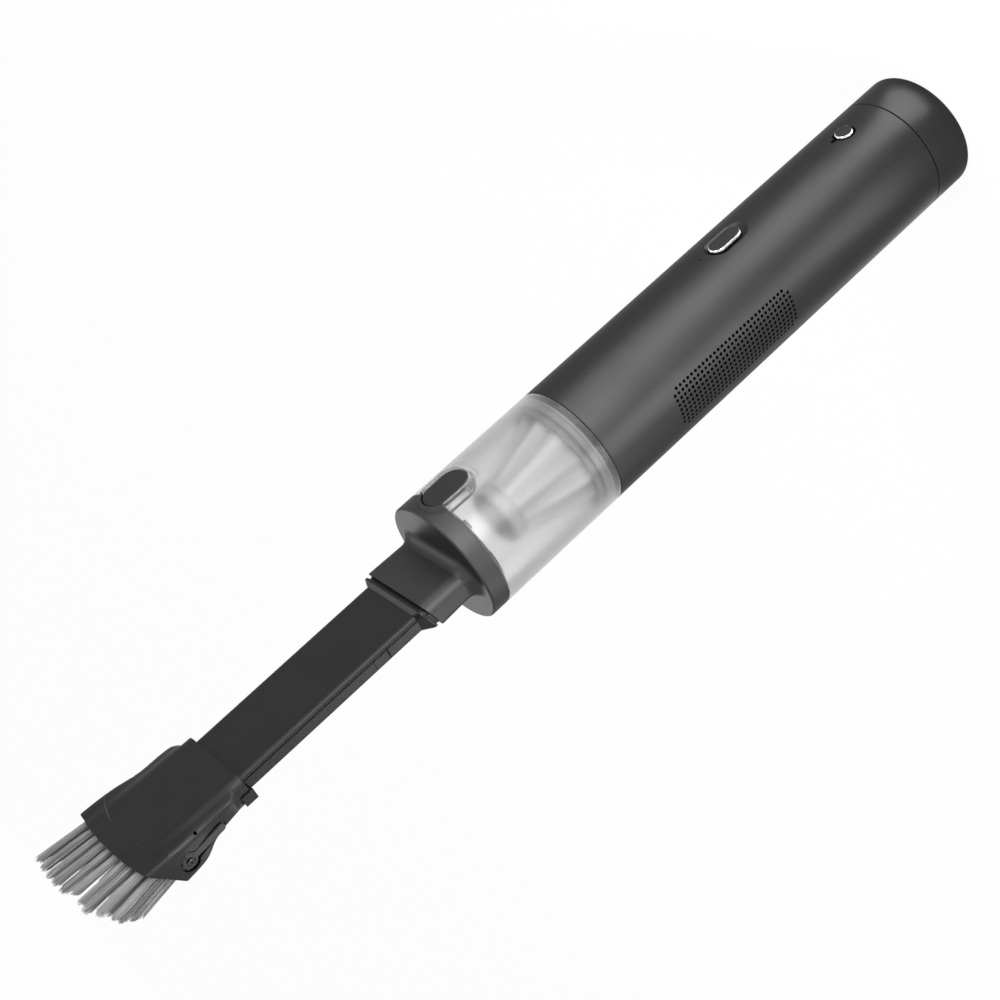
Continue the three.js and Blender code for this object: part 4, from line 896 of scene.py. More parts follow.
def frontCover():
    seam, face, spigot = front["seamZ"], front["faceZ"], front["spigot"]
    profile = [(0, face - front["plate"]), (front["spigotBore"], face - front["plate"]),
               (front["spigotBore"], front["spigotZ"]), (spigot - 0.3, front["spigotZ"]),
               (spigot, front["spigotZ"] + 0.3), (spigot, seam)]
    profile += roundedEdge(front["radius"], seam, front["seamRound"], -1)
    profile += roundedEdge(front["radius"], face, front["edge"], 1, 8) + [(0, face)]
    piece = addPiece("frontCoverShell", *lathe(profile), coverPaint)
    carve(piece, [boxPiece("coverGate", (-front["gateHalfWidth"], -front["skin"], front["gateRear"]),
                           (front["gateHalfWidth"], -front["gateDepth"], seam))])
    lip = pocketDome()
    ahead = boxPiece("aheadOfSeam", (-outside, -outside, seam), (outside, outside, face - front["edge"]))
    carve(lip, [ahead], "INTERSECT")
    lugs = [coverLug(angle + turn, halfSpan, low)
            for angle, halfSpan, low in front["lugs"] for turn in (0, 180)]
    carve(piece, [lip, spoutPiece()] + lugs, "UNION")
    bore = boxOutline(front["halfWidth"] - front["wall"], front["halfHeight"] - front["wall"],
                      front["boreCorner"], 8, front["stretch"])
    throat = addPiece("throat", *loft([upright(bore, face - front["throatLength"]),
                                       upright(bore, front["throatEnd"])]))
    carve(piece, [pocketHollow(), throat])
    roundWalls(piece)
    return place(piece, "cover", "front_cover", "housing")


def releaseButton():
    top, crown = release["top"], release["crown"]
    levels = [(0, release["low"]), (0, top - crown)] + roundOff(crown, top, (18, 36, 54, 72, 90))
    length, width = release["halfLength"], release["halfWidth"]
    outlineAt = lambda shrink: stadiumOutline(length - shrink, width - shrink, 28)
    rings = sideRings(outlineAt, levels, release["centreZ"])
    piece = smooth(addPiece("releaseKey", *loft(rings), buttonDark))
    return place(piece, "release_key", "release_button", "button_plastic")


frontCover()
releaseButton()
print("cover made")

# Crevice tool

tool = {
    "plugHalfWidth": 20.1, "plugHalfHeight": 5.8, "plugCorner": 3.0, "plugStretch": 1.5, "plugRear": 323.1,
    "plugBoreEnd": 337.6, "flangeFloor": 4.6, "sideDrop": 1.7, "dropWidth": 3.0, "wall": 1.3,
    "flangeHalfWidth": 20.75, "flangeHalfHeight": 6.45, "flangeCorner": 3.0, "flangeRear": 340.6,
    "flangeEnd": 345.4, "band": 0.9, "halfWidth": 17.6, "halfHeight": 4.5, "corner": 2.3, "tubeWall": 1.2,
    "endZ": 477.0, "endSlope": 0.5, "slope": 0.3, "grooveDepth": 0.32, "grooveHeight": 0.9, "grooveTop": -2.7,
    "notchLow": 362.5, "notchHigh": 370.5, "notchDepth": 0.7, "slitDepth": 1.05, "slitWidth": 0.45,
    "slitOffset": 0.07, "cutRear": 5.0, "cutEnd": 500.0,
}


def plugRing(shrink, corner):
    return boxOutline(tool["plugHalfWidth"] - shrink, tool["plugHalfHeight"] - shrink, corner, 8,
                      tool["plugStretch"])


def tubeRing(shrink, corner=None):
    corner = corner or tool["corner"] - shrink
    return boxOutline(tool["halfWidth"] - shrink, tool["halfHeight"] - shrink, corner, 8)


def cutFlat(outline):  # the flange is cut flat below
    return [(x, min(y, tool["flangeFloor"])) for x, y in outline]


def flangeRing(shrink):
    return cutFlat(boxOutline(tool["flangeHalfWidth"] - shrink, tool["flangeHalfHeight"] - shrink,
                              tool["flangeCorner"] - shrink * 0.5, 8))


def dropped(outline, z):  # the flange is thinner at its ends
    near, far = tool["halfWidth"], tool["halfWidth"] + tool["dropWidth"]
    return [(x, y, z - (tool["sideDrop"] + tool["slope"] * y) * portion(abs(x), near, far))
            for x, y in outline]


def tubeRings():
    rear, flangeRear, flangeEnd, end = (tool[key] for key in ("plugRear", "flangeRear", "flangeEnd", "endZ"))
    plugRound, slope, endSlope = tool["plugCorner"], tool["slope"], tool["endSlope"]
    bandRear = flangeEnd - 2 * tool["band"]
    return [upright(plugRing(0.4, plugRound - 0.3), rear), upright(plugRing(0, plugRound), rear + 0.4),
            upright(plugRing(0, plugRound), flangeRear + 0.1, slope),
            upright(flangeRing(0.3), flangeRear, slope), upright(flangeRing(0.08), flangeRear + 0.12, slope),
            upright(flangeRing(0), flangeRear + 0.35, slope),
            dropped(flangeRing(0), bandRear - 0.1), dropped(flangeRing(0.12), bandRear + 0.15),
            upright(cutFlat(tubeRing(-0.15)), flangeEnd - 0.12), upright(cutFlat(tubeRing(0.05)), flangeEnd),
            upright(tubeRing(0), flangeEnd + 0.01), upright(tubeRing(0), end - 0.4, endSlope),
            upright(tubeRing(0.12), end - 0.1, endSlope), upright(tubeRing(0.35), end, endSlope)]


def creviceTube():
    piece = addPiece("creviceTubeBody", *loft(tubeRings()), mattBlack)
    plugBore = plugRing(tool["wall"], tool["corner"])
    tubeBore = tubeRing(tool["tubeWall"], tool["corner"] / 2)
    cutters = [addPiece("duct", *loft([
        upright(plugBore, tool["plugRear"] - tool["cutRear"]), upright(plugBore, tool["plugBoreEnd"]),
        upright(tubeBore, tool["flangeEnd"]), upright(tubeBore, tool["cutEnd"])]))]
    slits = []
    top, floor, low = tool["grooveTop"], tool["grooveTop"] + tool["grooveHeight"], tool["halfHeight"] + past
    for side in (-1, 1):
        beyond = side * (tool["halfWidth"] + past)
        groove, notch, slit = (side * (tool["halfWidth"] - tool[key])
                               for key in ("grooveDepth", "notchDepth", "slitDepth"))
        cutters.append(boxPiece("tubeGroove", (beyond, top, tool["flangeEnd"] + 0.2),
                                (groove, floor, tool["cutEnd"])))
        cutters.append(boxPiece("tubeNotch", (beyond, floor + 0.3, tool["notchLow"]),
                                (notch, low, tool["notchHigh"])))
        offset = tool["slitOffset"]
        for z in (tool["notchLow"] - offset, tool["notchHigh"] + offset - tool["slitWidth"]):
            slits.append(boxPiece("tubeSlit", (beyond + side * 0.6, top + 0.2, z),
                                  (slit, low + 0.7, z + tool["slitWidth"])))
    carve(piece, cutters + slits)
    smooth(piece, 30)
    return place(piece, "crevice_tool", "crevice_tube", "black_plastic")


creviceTube()
print("crevice tool made")

# Brush head

brush = {
    "collarRear": 441.8, "collarHalfWidth": 21.0, "collarHalfHeight": 7.0, "collarRise": 0.041,
    "collarCorner": 5.0, "blend": 3.0, "boreHalfWidth": 18.05, "boreHalfHeight": 4.95, "boreCorner": 1.95,
    "wingRear": 447.0, "mouthZ": 489.6, "wall": 1.25, "slope": 0.68, "sweep": 1.0, "sweepHalf": 21.0,
    "hollowRear": 463.0, "hollowBeyond": 2.5, "pinHole": (24.7, 6.1, 468.9), "pinRadius": 0.75,
    "tab": ((18.4, 0.4, -1.5), (21.7, 5.6, 4.5)), "ribLow": 7.0, "boreRear": 5.0, "boreEnd": 505.0,
    "mouthRound": ((0.06, 0.12), (0.22, 0)), "rearRound": ((0.35, 0), (0.1, 0.12), (0, 0.4)),
}
# The skin that is cut away ahead of the raised field
lip = {
    "step": 0.32, "rise": 0.05, "fadeFrom": 8.0, "fadeTo": 15.0, "sideSpan": 3.0, "wideFrom": 21.0,
    "wideTo": 26.0, "wideShare": 0.014, "farZ": 520.0, "nearDepth": 4.5, "nearShift": 9.0, "farDepth": 16.0,
    "farShift": -14.0,
}
# Wings and mouth of the cap: z, half width, height on the button side, height on the other side, corner
wingSections = [(447.0, 22.2, 5.0, 1.7, 1.6), (448.6, 23.8, 5.4, 1.9, 1.8), (450.5, 24.6, 5.7, 2.2, 1.9),
                (454.5, 24.9, 6.1, 2.7, 2.2), (458.6, 25.0, 6.3, 3.4, 2.5), (463.0, 25.2, 6.45, 4.4, 2.8),
                (467.0, 25.6, 6.8, 5.5, 3.0), (471.0, 26.2, 7.4, 7.0, 3.0), (475.5, 26.8, 8.0, 8.2, 2.9),
                (480.0, 27.0, 8.6, 8.7, 2.8), (484.5, 27.1, 8.95, 8.95, 2.6), (489.6, 27.1, 9.2, 9.2, 2.4)]
# Edge of the raised field in front of the mouth: x, z
lipEdge = [(0, 489.3), (5, 489.1), (10.8, 488.4), (15.2, 486.9), (18.9, 485.2), (23.2, 482.3), (26.8, 479.1),
           (29, 476.2)]
tongue = {
    "rootZ": 477.0, "length": 19.0, "rootHeight": -1.5, "tipHeight": -0.2, "halfWidth": 1.5, "thickness": 1.5,
    "bossRadius": 3.7, "gap": 0.75, "face": 26.4, "clearance": 0.35, "pillar": 2.9, "screwRadius": 1.0,
    "holeRadius": 1.35, "holeEnd": -17.9, "headRadius": 1.5, "headHeight": 0.9, "screwLength": 6.0,
    "edge": 0.2,
    "ringInner": 2.3, "ringOuter": 3.1, "ringHeight": 0.3, "ringSink": 0.4, "ringEdge": 0.15, "headEdge": 0.25,
    "slotDepth": 0.5, "slots": ((0.2, 0.85), (0.85, 0.2)), "outside": 5.0,
}


def curveThrough(points, steps):  # Catmull-Rom through rows of values
    rows = []
    for i in range(len(points) - 1):
        before, start = points[max(i - 1, 0)], points[i]
        end, after = points[i + 1], points[min(i + 2, len(points) - 1)]
        for step in range(steps):
            t = step / steps
            rows.append(tuple(0.5 * (2 * b + (c - a) * t + (2 * a - 5 * b + 4 * c - d) * t * t
                                     + (3 * b - a - 3 * c + d) * t ** 3)
                              for a, b, c, d in zip(before, start, end, after)))
    rows.append(points[-1])
    return rows


def boxGap(x, y, halfX, top, bottom, corner):  # how far a point lies outside a rounded box
    halfY, middle = (top + bottom) / 2, (bottom - top) / 2
    corner = min(corner, halfX, halfY)
    overX, overY = abs(x) - halfX + corner, abs(y - middle) - halfY + corner
    return math.hypot(max(overX, 0), max(overY, 0)) + min(max(overX, overY), 0) - corner


def blendedOutline(boxes, count=224):  # the outline round rounded boxes that run together softly
    outline, blend = [], brush["blend"]
    for i in range(count):
        turn = 2 * math.pi * (i + 0.5) / count
        low, high = 0.0, 40.0
        while high - low > 0.0005:
            reach = (low + high) / 2
            gaps = [boxGap(reach * math.cos(turn), reach * math.sin(turn), *box) for box in boxes]
            near = max(blend - abs(gaps[0] - gaps[-1]), 0) / blend if len(boxes) > 1 else 0
            low, high = (reach, high) if min(gaps) - near * near * blend / 4 < 0 else (low, reach)
        outline.append((reach * math.cos(turn), reach * math.sin(turn)))
    return outline


def wingBox(z, inset=0.0):
    rows = curveThrough(wingSections, 6)
    for before, after in zip(rows, rows[1:]):
        if z <= after[0]:
            break
    share = portion(z, before[0], after[0])
    halfWidth, top, bottom, corner = (b + (a - b) * share - inset for b, a in zip(before[1:], after[1:]))
    return halfWidth, top, bottom, max(corner, 0.5)


def collarBox(z, inset=0.0):
    height = brush["collarHalfHeight"] + brush["collarRise"] * (z - brush["collarRear"]) - inset
    return brush["collarHalfWidth"] - inset, height, height, brush["collarCorner"]


def capPlane(outline, z):  # the cap's cross sections tilt and sweep more and more towards its mouth
    along = portion(z, brush["wingRear"], brush["mouthZ"])
    return upright(outline, z, along * brush["slope"], along * brush["sweep"], brush["sweepHalf"])


def capShellRings():
    rear, rings = brush["collarRear"], []
    levels = [(inset, rear + rise) for inset, rise in brush["rearRound"]]
    for inset, z in levels + [(0, brush["wingRear"] - 0.15)]:
        rings.append(capPlane(blendedOutline([collarBox(z, inset)]), z))
    steps = 34
    for i in range(steps + 1):
        z = brush["wingRear"] + (brush["mouthZ"] - 0.3 - brush["wingRear"]) * i / steps
        rings.append(capPlane(blendedOutline([wingBox(z, 0.5 if i == 0 else 0), collarBox(z)]), z))
    for inset, back in brush["mouthRound"]:
        z = brush["mouthZ"] - back
        rings.append(capPlane(blendedOutline([wingBox(z, inset), collarBox(z, inset)]), z))
    return rings


def capHollow(name, inset):
    rear, mouth, steps = brush["hollowRear"], brush["mouthZ"], 12
    rings = []
    for i in range(steps + 1):
        z = rear + (mouth - rear) * i / steps
        rings.append(capPlane(blendedOutline([wingBox(z, inset)], 96), z))
    rings.append([(x, y, z + brush["hollowBeyond"]) for x, y, z in rings[-1]])
    return addPiece(name, *loft(rings))


def lipCutter():  # thins the skin ahead of the raised field's edge, on the button side
    endX, farZ = lipEdge[-1][0], lip["farZ"]
    outline = [(-x, z) for x, z in lipEdge[::-1]] + lipEdge[1:] + [(endX, farZ), (-endX, farZ)]
    prism = addPiece("lipCutter", *loft([[(x, -lip["farDepth"], z + lip["farShift"]) for x, z in outline],
                                         [(x, -lip["nearDepth"], z + lip["nearShift"]) for x, z in outline]]))
    rings = []
    for ring in capShellRings():
        sunk = []
        for x, y, z in ring:
            share = portion(abs(x), lip["fadeFrom"], lip["fadeTo"])
            drop = portion(-y, 0, lip["sideSpan"]) * (lip["step"] * share - lip["rise"] * (1 - share))
            wide = 1 + lip["wideShare"] * portion(abs(x), lip["wideFrom"], lip["wideTo"])
            sunk.append((x * wide, y + drop, z))
        rings.append(sunk)
    rings.append([(x, y, z + 12) for x, y, z in rings[-1]])
    return carve(prism, [addPiece("lipFloor", *loft(rings))])


def drill(name, start, end, radius):  # a round cutter between two points
    start, end = Vector(start), Vector(end)
    turn = (end - start).to_track_quat("Z", "Y")
    rings = [[tuple(spot + turn @ Vector((x, y, 0))) for x, y in circlePoints(radius, 24)]
             for spot in (start, end)]
    return addPiece(name, *loft(rings))


def sideways(outline, x, lean=0):  # a ring at the tongue's root: outline x is height, outline y along Z
    turn = Matrix.Rotation(lean, 2)
    points = [turn @ Vector(point) for point in outline]
    return [(x, -(tongue["rootHeight"] + point.x), tongue["rootZ"] + point.y) for point in points]


def tongueDisc(grown):
    return circlePoints(tongue["bossRadius"] + grown, 40)


def tongueBar(grown):
    half = tongue["halfWidth"] + grown
    return arcPoints(0, half - tongue["length"] - grown, half, 180, 360, 10) + [(half, 0), (-half, 0)]


def tongueSolid(name, levels):  # from pairs of growth and x
    lean = math.atan2(tongue["tipHeight"] - tongue["rootHeight"], tongue["length"])
    disc, bar = [addPiece(name, *loft([sideways(outlineAt(grown), x, lean) for grown, x in levels]))
                 for outlineAt in (tongueDisc, tongueBar)]
    return carve(disc, [bar], "UNION")


def sidePeg(name, radius, low, high, edge=0.0, count=32):
    levels = [(radius - edge, low), (radius, low + edge), (radius, high)]
    rings = [sideways(circlePoints(size, count), x) for size, x in levels[0 if edge else 1:]]
    return addPiece(name, *loft(rings))


def brushCap():
    shell = addPiece("brushCapShell", *loft(capShellRings()), brushBlack)
    carve(shell, [lipCutter()])
    rear, face, height = brush["collarRear"], -tongue["face"], -tongue["rootHeight"]
    (near, top, back), (far, low, ahead) = brush["tab"]
    carve(shell, [boxPiece("collarTab", (side * near, top, rear + back), (side * far, low, rear + ahead))
                  for side in (-1, 1)], "UNION")
    slideRing = boxOutline(brush["boreHalfWidth"], brush["boreHalfHeight"], brush["boreCorner"], 8)
    slide = lambda: addPiece("brushBore", *loft([upright(slideRing, rear - brush["boreRear"]),
                                                 upright(slideRing, brush["boreEnd"])]))
    ledge = face + tongue["thickness"] + tongue["clearance"]
    beyond = face - tongue["outside"]
    window = tongueSolid("tongueWindow", [(tongue["gap"], beyond), (tongue["gap"], ledge)])
    pinX, pinY, pinZ = brush["pinHole"]
    holes = [drill("pinHole", (side * (pinX + 3), -pinY - 3, pinZ), (side * (pinX - 1.6), -pinY + 1.6, pinZ),
                   brush["pinRadius"]) for side in (-1, 1)]
    carve(shell, [capHollow("brushHollow", brush["wall"]), slide(), window] + holes)
    inner = -brush["boreHalfWidth"] - 0.3
    pillar = sidePeg("screwPillar", tongue["pillar"], ledge, inner)
    rib = boxPiece("screwRib", (ledge + 0.3, height, tongue["rootZ"] - tongue["pillar"] + 0.3),
                   (inner, brush["ribLow"], tongue["rootZ"]))
    carve(shell, [pillar, rib], "UNION")
    carve(shell, [sidePeg("screwHole", tongue["holeRadius"], beyond, tongue["holeEnd"]), slide()])
    smooth(shell, 28)
    return place(shell, "brush_head", "brush_cap", "black_plastic")


def detentTongue():
    face, edge = -tongue["face"], tongue["edge"]
    back = face + tongue["thickness"]
    piece = tongueSolid("tongueLeaf", [(-edge, face), (0, face + edge), (0, back - edge), (-edge, back)])
    height = tongue["ringHeight"]
    ring = sidePeg("tongueRing", tongue["ringOuter"], face - height, face + tongue["ringSink"],
                   tongue["ringEdge"], 40)
    carve(ring, [sidePeg("ringHollow", tongue["ringInner"], face - 3, face + 0.1, count=40)])
    carve(piece, [ring], "UNION")
    carve(piece, [sidePeg("tongueHole", tongue["holeRadius"], face - tongue["outside"], -20)])
    dress(piece, tongueBlack)
    smooth(piece)
    return place(piece, "tongue", "detent_tongue", "black_plastic")


def tongueScrew():
    outer = -tongue["face"] - tongue["clearance"] - tongue["headHeight"]
    head = sidePeg("tongueScrewHead", tongue["headRadius"], outer, outer + tongue["headHeight"],
                   tongue["headEdge"])
    shank = sidePeg("screwShank", tongue["screwRadius"], outer + 0.5, outer + 0.45 + tongue["screwLength"])
    carve(head, [shank], "UNION")
    height, rootZ = -tongue["rootHeight"], tongue["rootZ"]
    carve(head, [boxPiece("screwSlot", (outer - 1, height - across, rootZ - along),
                          (outer + tongue["slotDepth"], height + across, rootZ + along))
                 for across, along in tongue["slots"]])
    dress(head, darkScrew)
    smooth(head)
    return place(head, "brush_head", "tongue_screw", "black_plastic")


brushCap()
detentTongue()
tongueScrew()
print("brush head made")

# Bristles: one tree grows a field of tufts that spread by one scaling

# the flank shade value darkens each tuft's side strands as painted shade
bristle = {
    "perTuft": 70, "rootZ": 484.7, "tipZ": 515.7, "rootSlope": 0.7, "tipSlope": 0.85, "tipSweep": 3.6,
    "sweepHalf": 27.1, "ragged": 5.0, "strandRadius": 0.16, "tipShare": 0.6, "tuftDepth": 1.15,
    "tuftSpread": 0.22, "headSpread": 0.17, "tuftCrown": 1.6, "flankShade": 0.5,
}
bristleCounts = ("columns", "rows", "perTuft", "seed")
bristleLengths = ("originX", "originY", "pitchX", "pitchY", "tuftWidth", "tuftDepth", "rootZ", "tipZ",
                  "tipSweep", "sweepHalf", "ragged", "tuftLean", "tuftCrown", "strandRadius")
bristleRatios = ("rootSlope", "tipSlope", "tuftSpread", "headSpread", "flankShade", "tipShare")
strandBend = 0.35
backing = {"halfX": 30.0, "halfY": 15.0, "corner": 5.0, "depth": 2.0, "sink": 0.8, "gap": 0.3, "lowZ": 441.0,
           "highZ": 520.0}
bristleRow = {"columns": 9, "rows": 1, "half": 20.4, "y": 6.3, "inner": 4.95, "tuftWidth": 1.85,
              "tuftLean": 1.3}
bristleBlock = {"columns": 2, "rows": 3, "first": 19.6, "pitchX": 3.1, "pitchY": 3.0, "inner": 18.05,
                "outer": 24.55, "halfHeight": 4.65}


def draw(graph, identity, seed, low=0.0, high=1.0):  # a random value of its own for each identity
    return graph.node("FunctionNodeRandomValue", {"data_type": "FLOAT"}, {
        2: low, 3: high, "ID": identity, "Seed": seed}, 1)


def bristleTree():
    tree, graph, wires = newTree("bristleField", bristleCounts, bristleLengths + bristleRatios)
    columns, rows, perTuft, seed = (wires[key] for key in bristleCounts)
    index = graph.node("GeometryNodeInputIndex")
    tuft = graph.calc("FLOOR", index / perTuft)
    inTuft = index - tuft * perTuft
    row = graph.calc("FLOOR", tuft / columns)
    column = tuft - row * columns
    centreX = wires["originX"] + (column - (columns - 1) * 0.5) * wires["pitchX"]
    centreY = wires["originY"] + (row - (rows - 1) * 0.5) * wires["pitchY"]
    share = (inTuft + 0.5) / perTuft
    reach = share ** 0.5
    turn = inTuft * (math.pi * (3 - math.sqrt(5))) + tuft * 1.7
    offsetX = wires["tuftWidth"] * reach * graph.calc("COSINE", turn)
    offsetY = wires["tuftDepth"] * reach * graph.calc("SINE", turn)
    random = draw(graph, index, seed)
    lean = graph.node("FunctionNodeRandomValue", {"data_type": "FLOAT_VECTOR"}, {
        0: (-1, -1, 0), 1: (1, 1, 0), "ID": index, "Seed": seed + 1})
    tuftRandom = draw(graph, tuft, seed + 2)
    tuftLean = draw(graph, tuft, seed + 3, -1.0, 1.0)
    rootX, rootY = centreX + offsetX, centreY + offsetY
    aside = centreX / wires["sweepHalf"]
    head, spread = 1 + wires["headSpread"], 1 + wires["tuftSpread"]
    tipX = centreX * head + offsetX * spread + wires["tuftLean"] * tuftLean
    tipY = centreY * head + offsetY * spread
    tipZ = (wires["tipZ"] - wires["tipSlope"] * rootY - wires["tipSweep"] * (aside * aside)
            - wires["ragged"] * (random * 0.4 + tuftRandom * 0.6) - wires["tuftCrown"] * share)
    root = graph.vector(rootX, rootY, wires["rootZ"] - wires["rootSlope"] * rootY)
    tip = graph.vector(tipX, tipY, tipZ)
    span = graph.node("ShaderNodeVectorMath", {"operation": "SUBTRACT"}, {0: tip, 1: root})
    bent = graph.node("ShaderNodeVectorMath", {"operation": "MULTIPLY_ADD"}, {
        0: lean, 1: (strandBend * mm, strandBend * mm, 0.0), 2: span})
    length = graph.node("ShaderNodeVectorMath", {"operation": "LENGTH"}, {0: bent}, 1)
    dots = graph.node("GeometryNodePoints", {}, {"Count": columns * rows * perTuft, "Position": root})
    # painted shade: strands on a tuft's flanks are darkened, on top of their random tone
    flank = graph.calc("ABSOLUTE", offsetX / wires["tuftWidth"]) ** 3.0
    strandTone = 0.2 + random * 0.45 + tuftRandom * 0.35 - wires["flankShade"] * flank
    toned = graph.node("GeometryNodeStoreNamedAttribute", {"data_type": "FLOAT", "domain": "POINT"}, {
        "Geometry": dots, "Name": "strandTone", "Value": strandTone})
    strand = graph.node("GeometryNodeMeshCone", {"fill_type": "NGON"}, {
        "Vertices": 5, "Side Segments": 1, "Radius Top": wires["strandRadius"] * wires["tipShare"],
        "Radius Bottom": wires["strandRadius"], "Depth": 1.0})
    aligned = graph.node("FunctionNodeAlignRotationToVector", {"axis": "Z"}, {"Vector": bent})
    strands = graph.node("GeometryNodeInstanceOnPoints", {}, {
        "Points": toned, "Instance": strand, "Rotation": aligned, "Scale": graph.vector(1.0, 1.0, length)})
    endTree(graph, strands, bristleGrey)
    return tree


bristleField = bristleTree()


def backingSlab(first, second):
    ring = boxOutline(backing["halfX"], backing["halfY"], backing["corner"], 6)
    root, slope = bristle["rootZ"], bristle["rootSlope"]
    slab = addPiece("backingSlab", *loft([upright(ring, root - backing["depth"], slope),
                                          upright(ring, root, slope)]))
    sector = boxPiece("backingSector", (*first, backing["lowZ"]), (*second, backing["highZ"]))
    return carve(slab, [capHollow("capInside", brush["wall"] + backing["gap"]), sector], "INTERSECT")


def bristlePiece(name, node, first, second, field):  # first and second are corners of its backing
    values = {**bristle, **field, "rootZ": bristle["rootZ"] - backing["sink"]}
    inputs = {key: values[key] for key in bristleCounts + bristleRatios}
    inputs.update({key: values[key] * mm for key in bristleLengths})
    strands = grow(name, bristleField, inputs)
    slab = backingSlab(first, second)
    joined = bmesh.new()
    joined.from_mesh(strands.data)
    joined.from_mesh(slab.data)
    joined.to_mesh(strands.data)
    joined.free()
    bpy.data.objects.remove(slab)
    dress(strands, bristleGrey)
    smooth(strands, 50)
    return place(strands, "brush_head", node, "bristles")


for side, label, seed in ((-1, "top", 11), (1, "bottom", 23)):
    near, far = (-backing["halfX"], side * bristleRow["inner"]), (backing["halfX"], side * backing["halfY"])
    bristlePiece("bristleRow" + label.capitalize(), "bristles_" + label, near, far, {
        **bristleRow, "originX": 0, "originY": side * bristleRow["y"], "pitchY": 0, "seed": seed,
        "pitchX": 2 * bristleRow["half"] / (bristleRow["columns"] - 1)})
for side, label, seed in ((-1, "left", 36), (1, "right", 38)):
    high = bristleBlock["halfHeight"]
    near, far = (side * bristleBlock["inner"], -high), (side * bristleBlock["outer"], high)
    bristlePiece("bristle" + label.capitalize(), "bristles_" + label, near, far, {
        **bristleBlock, "originX": side * (bristleBlock["first"] + bristleBlock["pitchX"] / 2), "originY": 0,
        "tuftWidth": bristle["tuftDepth"], "tuftLean": 0, "seed": seed})
print("bristles made")

# CAD pieces that stay hidden in the body keep their meshes and get their finishes

innerFinishes = (
    (cellWrap, ("battery_cell_1", "battery_cell_2", "battery_cell_3")),
    (paleMoulding, ("battery_holder_rear", "battery_holder_front")),
    (mattBlack, ("board_tray", "power_switch", "charge_socket", "motor_end_bell", "fan_shroud", "impeller")),
    (boardGreen, ("control_board", "charge_board")),
    (plainSteel, ("board_screw_1", "board_screw_2", "motor_can", "motor_bearing", "motor_shaft",
                  "motor_rotor")),
    (softBlack, ("motor_mount", "motor_lead_black", "cup_seal")),
    (padFoam, ("exhaust_filter_left", "exhaust_filter_right")),
    (redWire, ("motor_lead_red",)),
)
for finish, nodes in innerFinishes:
    for node in nodes:
        dress(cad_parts[node], finish)

# Stage, lights and camera

stage = {"floorHalf": 20.0, "floorTone": 0.86, "glow": 0.94, "worldAmbient": 0.75, "skyTone": 0.985}


def seenDirectly(graph):
    seen, mirrored, through = graph.node("ShaderNodeLightPath", out=[
        "Is Camera Ray", "Is Glossy Ray", "Is Transmission Ray"])
    return graph.calc("MINIMUM", seen + mirrored + through, 1.0)


def floorMaterial():
    material, graph = newMaterial("paleFloor")
    diffuse = graph.node("ShaderNodeBsdfDiffuse", {}, {"Color": grey(stage["floorTone"]), "Roughness": 1.0})
    glow = graph.node("ShaderNodeEmission", {}, {"Color": grey(1), "Strength": 1.0})
    share = seenDirectly(graph) * stage["glow"]
    graph.surface(graph.node("ShaderNodeMixShader", {}, {0: share, 1: diffuse, 2: glow}))
    return material


half = stage["floorHalf"] / mm
addPiece("paleFloor", [(-half, -half, 0), (half, -half, 0), (half, half, 0), (-half, half, 0)],
                  [(0, 1, 2, 3)], floorMaterial())

world = bpy.data.worlds.new("studio")
bpy.context.scene.world = world
world.use_nodes = True
world.node_tree.nodes.clear()
sky = Graph(world.node_tree)
ambient = sky.node("ShaderNodeBackground", {}, {"Color": grey(1), "Strength": stage["worldAmbient"]})
white = sky.node("ShaderNodeBackground", {}, {"Color": grey(1), "Strength": stage["skyTone"]})
blended = sky.node("ShaderNodeMixShader", {}, {0: seenDirectly(sky), 1: ambient, 2: white})
sky.node("ShaderNodeOutputWorld", {}, {"Surface": blended})


def around(angle, reach, z):  # a place seen at that angle from the camera side, positive towards the grille
    turn = math.radians(cameraTurn + angle)
    return Vector((-math.sin(turn) * reach, -math.cos(turn) * reach, z))


def areaLight(name, spot, aim, size, radiance, sheenOnly):
    data = bpy.data.lights.new(name, "AREA")
    data.shape = "RECTANGLE"
    data.size, data.size_y = size
    data.energy = radiance * math.pi * size[0] * size[1]
    light = bpy.data.objects.new(name, data)
    light.location = spot
    light.rotation_euler = (Vector(aim) - spot).to_track_quat("-Z", "Y").to_euler()
    light.visible_camera = False
    light.visible_diffuse = not sheenOnly
    light.visible_transmission = False
    bpy.context.scene.collection.objects.link(light)
    return light


lampHeight = 0.003  # of the low boxes over the floor


def highBox(name, angle, reach, z, aim, size, radiance, sheenOnly=False):
    areaLight(name, around(angle, reach, z), (0, 0, aim), size, radiance, sheenOnly)


def lowBox(name, angle, near, far, spread, radiance, sheenOnly=False):  # flat on the floor, looking up
    middle = (near + far) / 2
    size = (2 * middle * math.tan(math.radians(spread) / 2), far - near)
    spot = around(angle, middle, lampHeight)
    light = areaLight(name, spot, around(angle, middle, 1.0), size, radiance, sheenOnly)
    light.rotation_euler = (math.pi, 0, -math.radians(cameraTurn + angle))


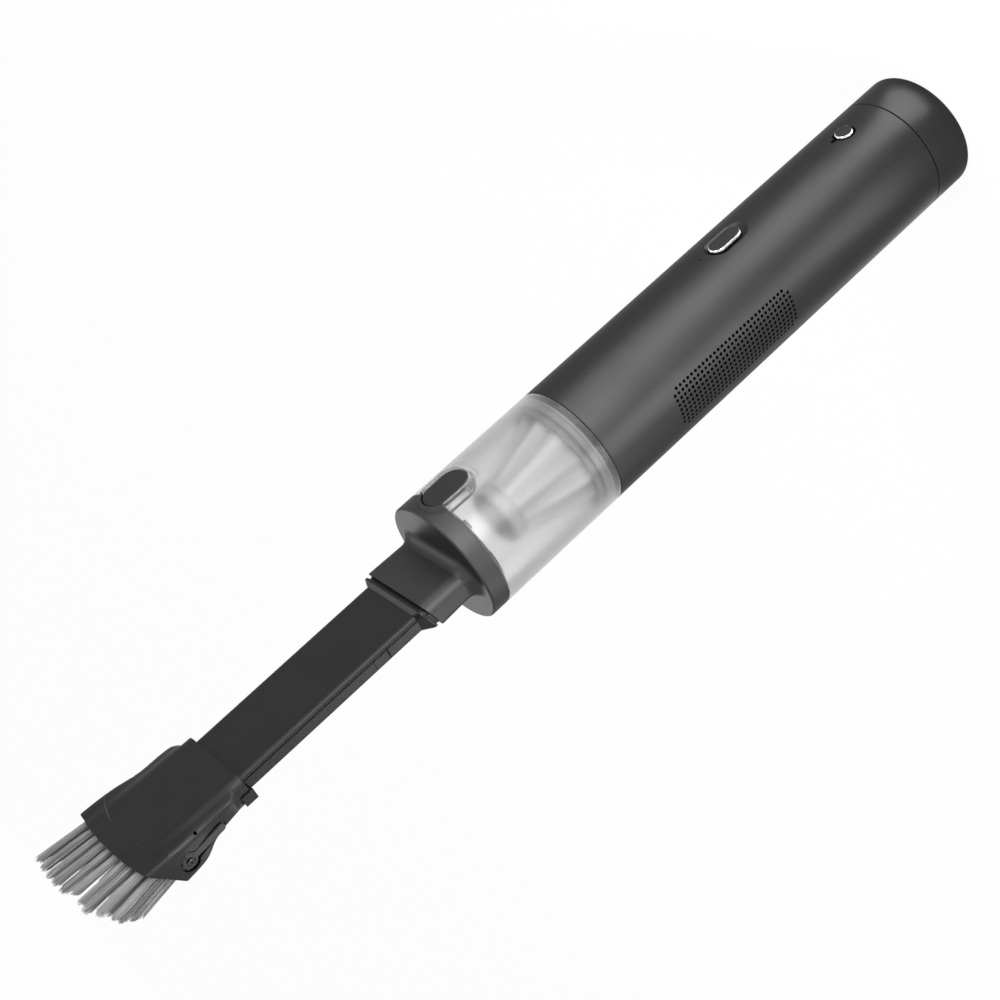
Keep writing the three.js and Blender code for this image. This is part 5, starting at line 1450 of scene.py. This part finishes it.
highBoxes = {
    "powerSide": {"angle": -48, "reach": 0.62, "z": 0.45, "aim": 0.3, "size": (0.2, 0.5), "radiance": 5.0},
    "grilleSide": {"angle": 36, "reach": 0.62, "z": 0.5, "aim": 0.35, "size": (0.14, 0.5), "radiance": 6.0},
    "overhead": {"angle": 0, "reach": 0.36, "z": 1.3, "aim": 0.25, "size": (0.9, 0.9), "radiance": 1.3},
    "faceSheen": {"angle": 180, "reach": 1.0, "z": 0.65, "aim": 0.32, "size": (0.55, 0.5), "radiance": 3.2,
                  "sheenOnly": True},
    "chamferSheen": {"angle": -114, "reach": 0.8, "z": 1.0, "aim": 0.34, "size": (0.5, 0.4), "radiance": 4.0,
                     "sheenOnly": True},
}
lowBoxes = {
    "bandNear": {"angle": -36, "near": 0.035, "far": 0.12, "spread": 30, "radiance": 4.6},
    "bandMiddle": {"angle": -38, "near": 0.12, "far": 0.35, "spread": 38, "radiance": 4.4},
    "bandFar": {"angle": -42, "near": 0.35, "far": 0.78, "spread": 46, "radiance": 5.4},
    "glintMiddle": {"angle": 38, "near": 0.1, "far": 0.42, "spread": 22, "radiance": 3.2},
    "glintFar": {"angle": 42, "near": 0.42, "far": 0.78, "spread": 30, "radiance": 9.0},
    "rimSheen": {"angle": 130, "near": 0.04, "far": 0.36, "spread": 20, "radiance": 1.2},
    "ridgeSheen": {"angle": -6, "near": 0.98, "far": 1.65, "spread": 32, "radiance": 36.0, "sheenOnly": True},
    "flankSheen": {"angle": 84, "near": 0.98, "far": 1.65, "spread": 28, "radiance": 12.0, "sheenOnly": True},
}
for name, box in highBoxes.items():
    highBox(name, **box)
for name, box in lowBoxes.items():
    lowBox(name, **box)

photoCamera = {
    "lens": 68.22, "sensorWidth": 36.0, "nearest": 0.02, "farthest": 30.0,
    "spot": (-0.56985, -0.51821, 0.53358), "right": (-0.62303598, 0.34510143, -0.70194813),
    "up": (0.3376172, -0.69086309, -0.63931434), "back": (-0.70557834, -0.63530559, 0.31392038)}
cameraData = bpy.data.cameras.new("photoCamera")
cameraData.lens = photoCamera["lens"]
cameraData.sensor_width = photoCamera["sensorWidth"]
cameraData.clip_start = photoCamera["nearest"]
cameraData.clip_end = photoCamera["farthest"]
camera = bpy.data.objects.new("photoCamera", cameraData)
turn = Matrix([photoCamera[axis] for axis in ("right", "up", "back")]).transposed().to_4x4()
turn.translation = Vector(photoCamera["spot"])
camera.matrix_world = turn
bpy.context.scene.collection.objects.link(camera)
bpy.context.scene.camera = camera
bpy.context.scene.view_settings.view_transform = "Standard"
print("stage made")
